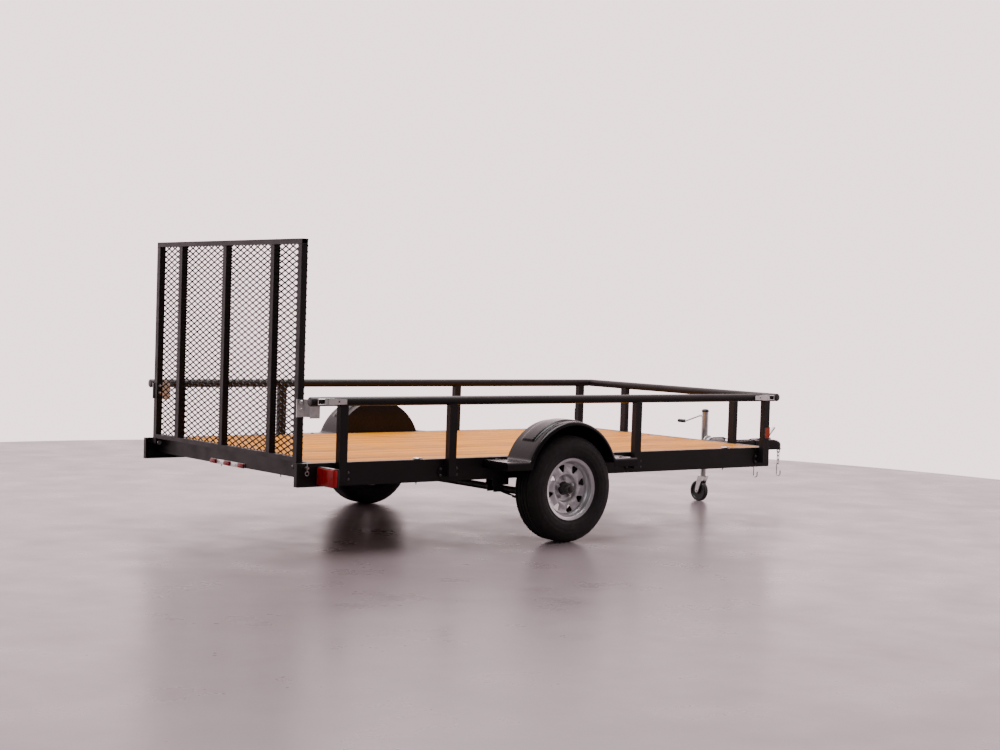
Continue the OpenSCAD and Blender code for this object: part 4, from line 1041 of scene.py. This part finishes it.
beads = bmesh.new()
for sign in (-1, 1):
    for x in post_places:
        for dx in (-0.0255, 0.0255):
            weld(beads, (x + dx, sign * (plate_face + 0.001), 0.401),
                 (x + dx, sign * (plate_face + 0.001), 0.458))
piece("weld_beads", beads, powder_coat, "chassis")
gate_beads = bmesh.new()
upright_low, upright_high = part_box("gate_uprights")
bar_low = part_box("gate_top_rail")[0].z
for y in (-0.822, -0.535, 0.0, 0.535, 0.822):
    for side_y in (-0.0190, 0.0190):
        weld(gate_beads, (upright_low.x + 0.003, y + side_y, bar_low),
             (upright_high.x - 0.003, y + side_y, bar_low), 0.0025)
    for face_x in (upright_low.x, upright_high.x):
        weld(gate_beads, (face_x, y - 0.016, bar_low), (face_x, y + 0.016, bar_low), 0.0022)
piece("gate_weld_beads", gate_beads, powder_coat, "gate")
print("weld beads done")

# %% [markdown]
# ## Small fittings
#
# The crank's handle turns inside a black grip. The gate's catches are held by two carriage bolts each. A
# bezel holds the reflector, and a rubber cap closes the end of each side rail.

# %% Fit the grip, the catch bolts and the bezels
grip = bmesh.new()
crank_low, crank_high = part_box("jack_crank")
handle = Vector((crank_low.x + 0.012, crank_high.y - 0.072, crank_low.z + 0.012))
lathe(grip, [(0, -0.001), (0.0095, -0.001), (0.0122, 0.002), (0.0130, 0.008), (0.0122, 0.020),
             (0.0130, 0.034),
             (0.0122, 0.048), (0.0130, 0.058), (0.0118, 0.0655), (0.0080, 0.0675), (0, 0.0680)],
      handle + Vector((0, 0.003, 0)), (0, 1, 0), 32, closed=False)
piece("crank_grip", grip, black_plastic, "jack")
CATCH_X, CATCH_Z = -2.320, 0.799
catches = bmesh.new()
for sign in (-1, 1):
    for dz in (-0.021, 0.021):
        carriage_head(catches, (CATCH_X, sign * 0.8452, CATCH_Z + dz), (0, sign, 0), 0.011)
        bolt(catches, (CATCH_X, sign * 0.8028, CATCH_Z + dz), (0, -sign, 0), 0.008, stub=0.004)
piece("catch_bolts", catches, zinc_plate, "gate")
bezels = bmesh.new()
low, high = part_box("reflectors")
for sign in (-1, 1):
    y0, y1 = sorted((sign * (high.y - 0.006), sign * (high.y + 0.0015)))
    for z in (low.z - 0.002, high.z - 0.002):
        block(bezels, (low.x - 0.002, y0, z), (high.x + 0.002, y1, z + 0.004))
    for x in (low.x - 0.002, high.x - 0.002):
        block(bezels, (x, y0, low.z - 0.002), (x + 0.004, y1, high.z + 0.002))
piece("reflector_bezels", bezels, black_plastic, "chassis")
ends = bmesh.new()
rail_low, rail_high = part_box("top_rail_left")
rail_middle = Vector((0, (rail_low.y + rail_high.y) / 2, (rail_low.z + rail_high.z) / 2))
rail_r = (rail_high.z - rail_low.z) / 2
front_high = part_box("top_rail_front")[1]
rail_cap = [(0, 0.012), (rail_r - 0.004, 0.012), (rail_r - 0.0034, -0.0002), (rail_r - 0.0005, -0.0004),
            (rail_r - 0.0015, -0.0035), (rail_r - 0.006, -0.0050), (0, -0.0055)]
for sign in (-1, 1):
    lathe(ends, rail_cap, (rail_low.x, sign * rail_middle.y, rail_middle.z), (1, 0, 0), 40, closed=False)
for end in (-1, 1):
    lathe(ends, [(r, -s) for r, s in rail_cap], (front_high.x - rail_r, end * front_high.y, rail_middle.z),
          (0, end, 0), 40, closed=False)
piece("rail_end_caps", ends, black_plastic, "chassis")
under = bmesh.new()
for y in (0.10, -0.57):
    bolt(under, (-2.270, y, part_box("rear_beam")[0].z), (0, 0, -1), 0.006, stub=0.010)
for sign in (-1, 1):
    for x in (-1.588, 0.852):
        bolt(under, (x, sign * 0.895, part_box("side_channel_left")[0].z), (0, 0, -1), 0.006, stub=0.008)
piece("underside_screws", under, zinc_plate, "chassis")
print("grip, catch bolts, bezels, end caps and screws fitted")

# %% [markdown]
# ## Floor and light
#
# The trailer stands in a round pale room with a smooth painted floor. A disc is the floor, and the sky
# colour beyond its edge is the wall. The light is broad and soft: a big lamp overhead and one behind the
# camera's shoulder, with most of the light coming from the pale surroundings.

# %% Lay the floor
FLOOR_RADIUS = 6.45
floor_paint = new_material("floor_epoxy_pale_grey", "#6d6567", 0.30, Specular_IOR_Level=0.30)
weather(floor_paint, tint=(1400, 6, [(0.3, "#695f62"), (0.7, "#73696c")]),
        rough=(400, 5, 0.25, 0.35))
disc = bmesh.new()
bmesh.ops.create_circle(disc, cap_ends=True, segments=256, radius=FLOOR_RADIUS)
mesh = bpy.data.meshes.new("floor")
disc.to_mesh(mesh)
disc.free()
mesh.materials.append(floor_paint)
floor = bpy.data.objects.new("floor", mesh)
floor.location = (-0.85, -0.05, 0)
show(floor)
print("the floor is", 2 * FLOOR_RADIUS, "m across")

# %% Light the room
ROOM_DIM, ROOM_BRIGHT = 0.22, 2.9
world = bpy.data.worlds.new("room")
world.use_nodes = True
sky = world.node_tree.nodes["Background"]
sky.inputs["Color"].default_value = lin("#f8dfe2")
compass = add(world, "ShaderNodeTexCoord")
toward = add(world, "ShaderNodeVectorMath", {0: compass.outputs["Generated"], 1: (0.62, 0.78, 0.0)},
             operation="DOT_PRODUCT")
fade = add(world, "ShaderNodeMapRange", {"Value": toward.outputs["Value"], "From Min": -0.5, "From Max": 0.75,
                                         "To Min": ROOM_DIM, "To Max": ROOM_BRIGHT},
           interpolation_type="SMOOTHSTEP")
world.node_tree.links.new(fade.outputs["Result"], sky.inputs["Strength"])
bpy.context.scene.world = world


def soft_lamp(name, spot, aim, size, watts):
    data = bpy.data.lights.new(name, "AREA")
    data.shape = "DISK"
    data.size = size
    data.energy = watts
    lamp = bpy.data.objects.new(name, data)
    lamp.location = spot
    lamp.rotation_euler = (Vector(aim) - Vector(spot)).to_track_quat("-Z", "Y").to_euler()
    show(lamp)


soft_lamp("ceiling", (-0.6, 0.3, 5.2), (-0.6, 0, 0), 5.0, 520)
soft_lamp("shoulder", (-6.5, -5.0, 3.6), (0, 0, 0.6), 3.0, 40)
print("two lamps and the room light")
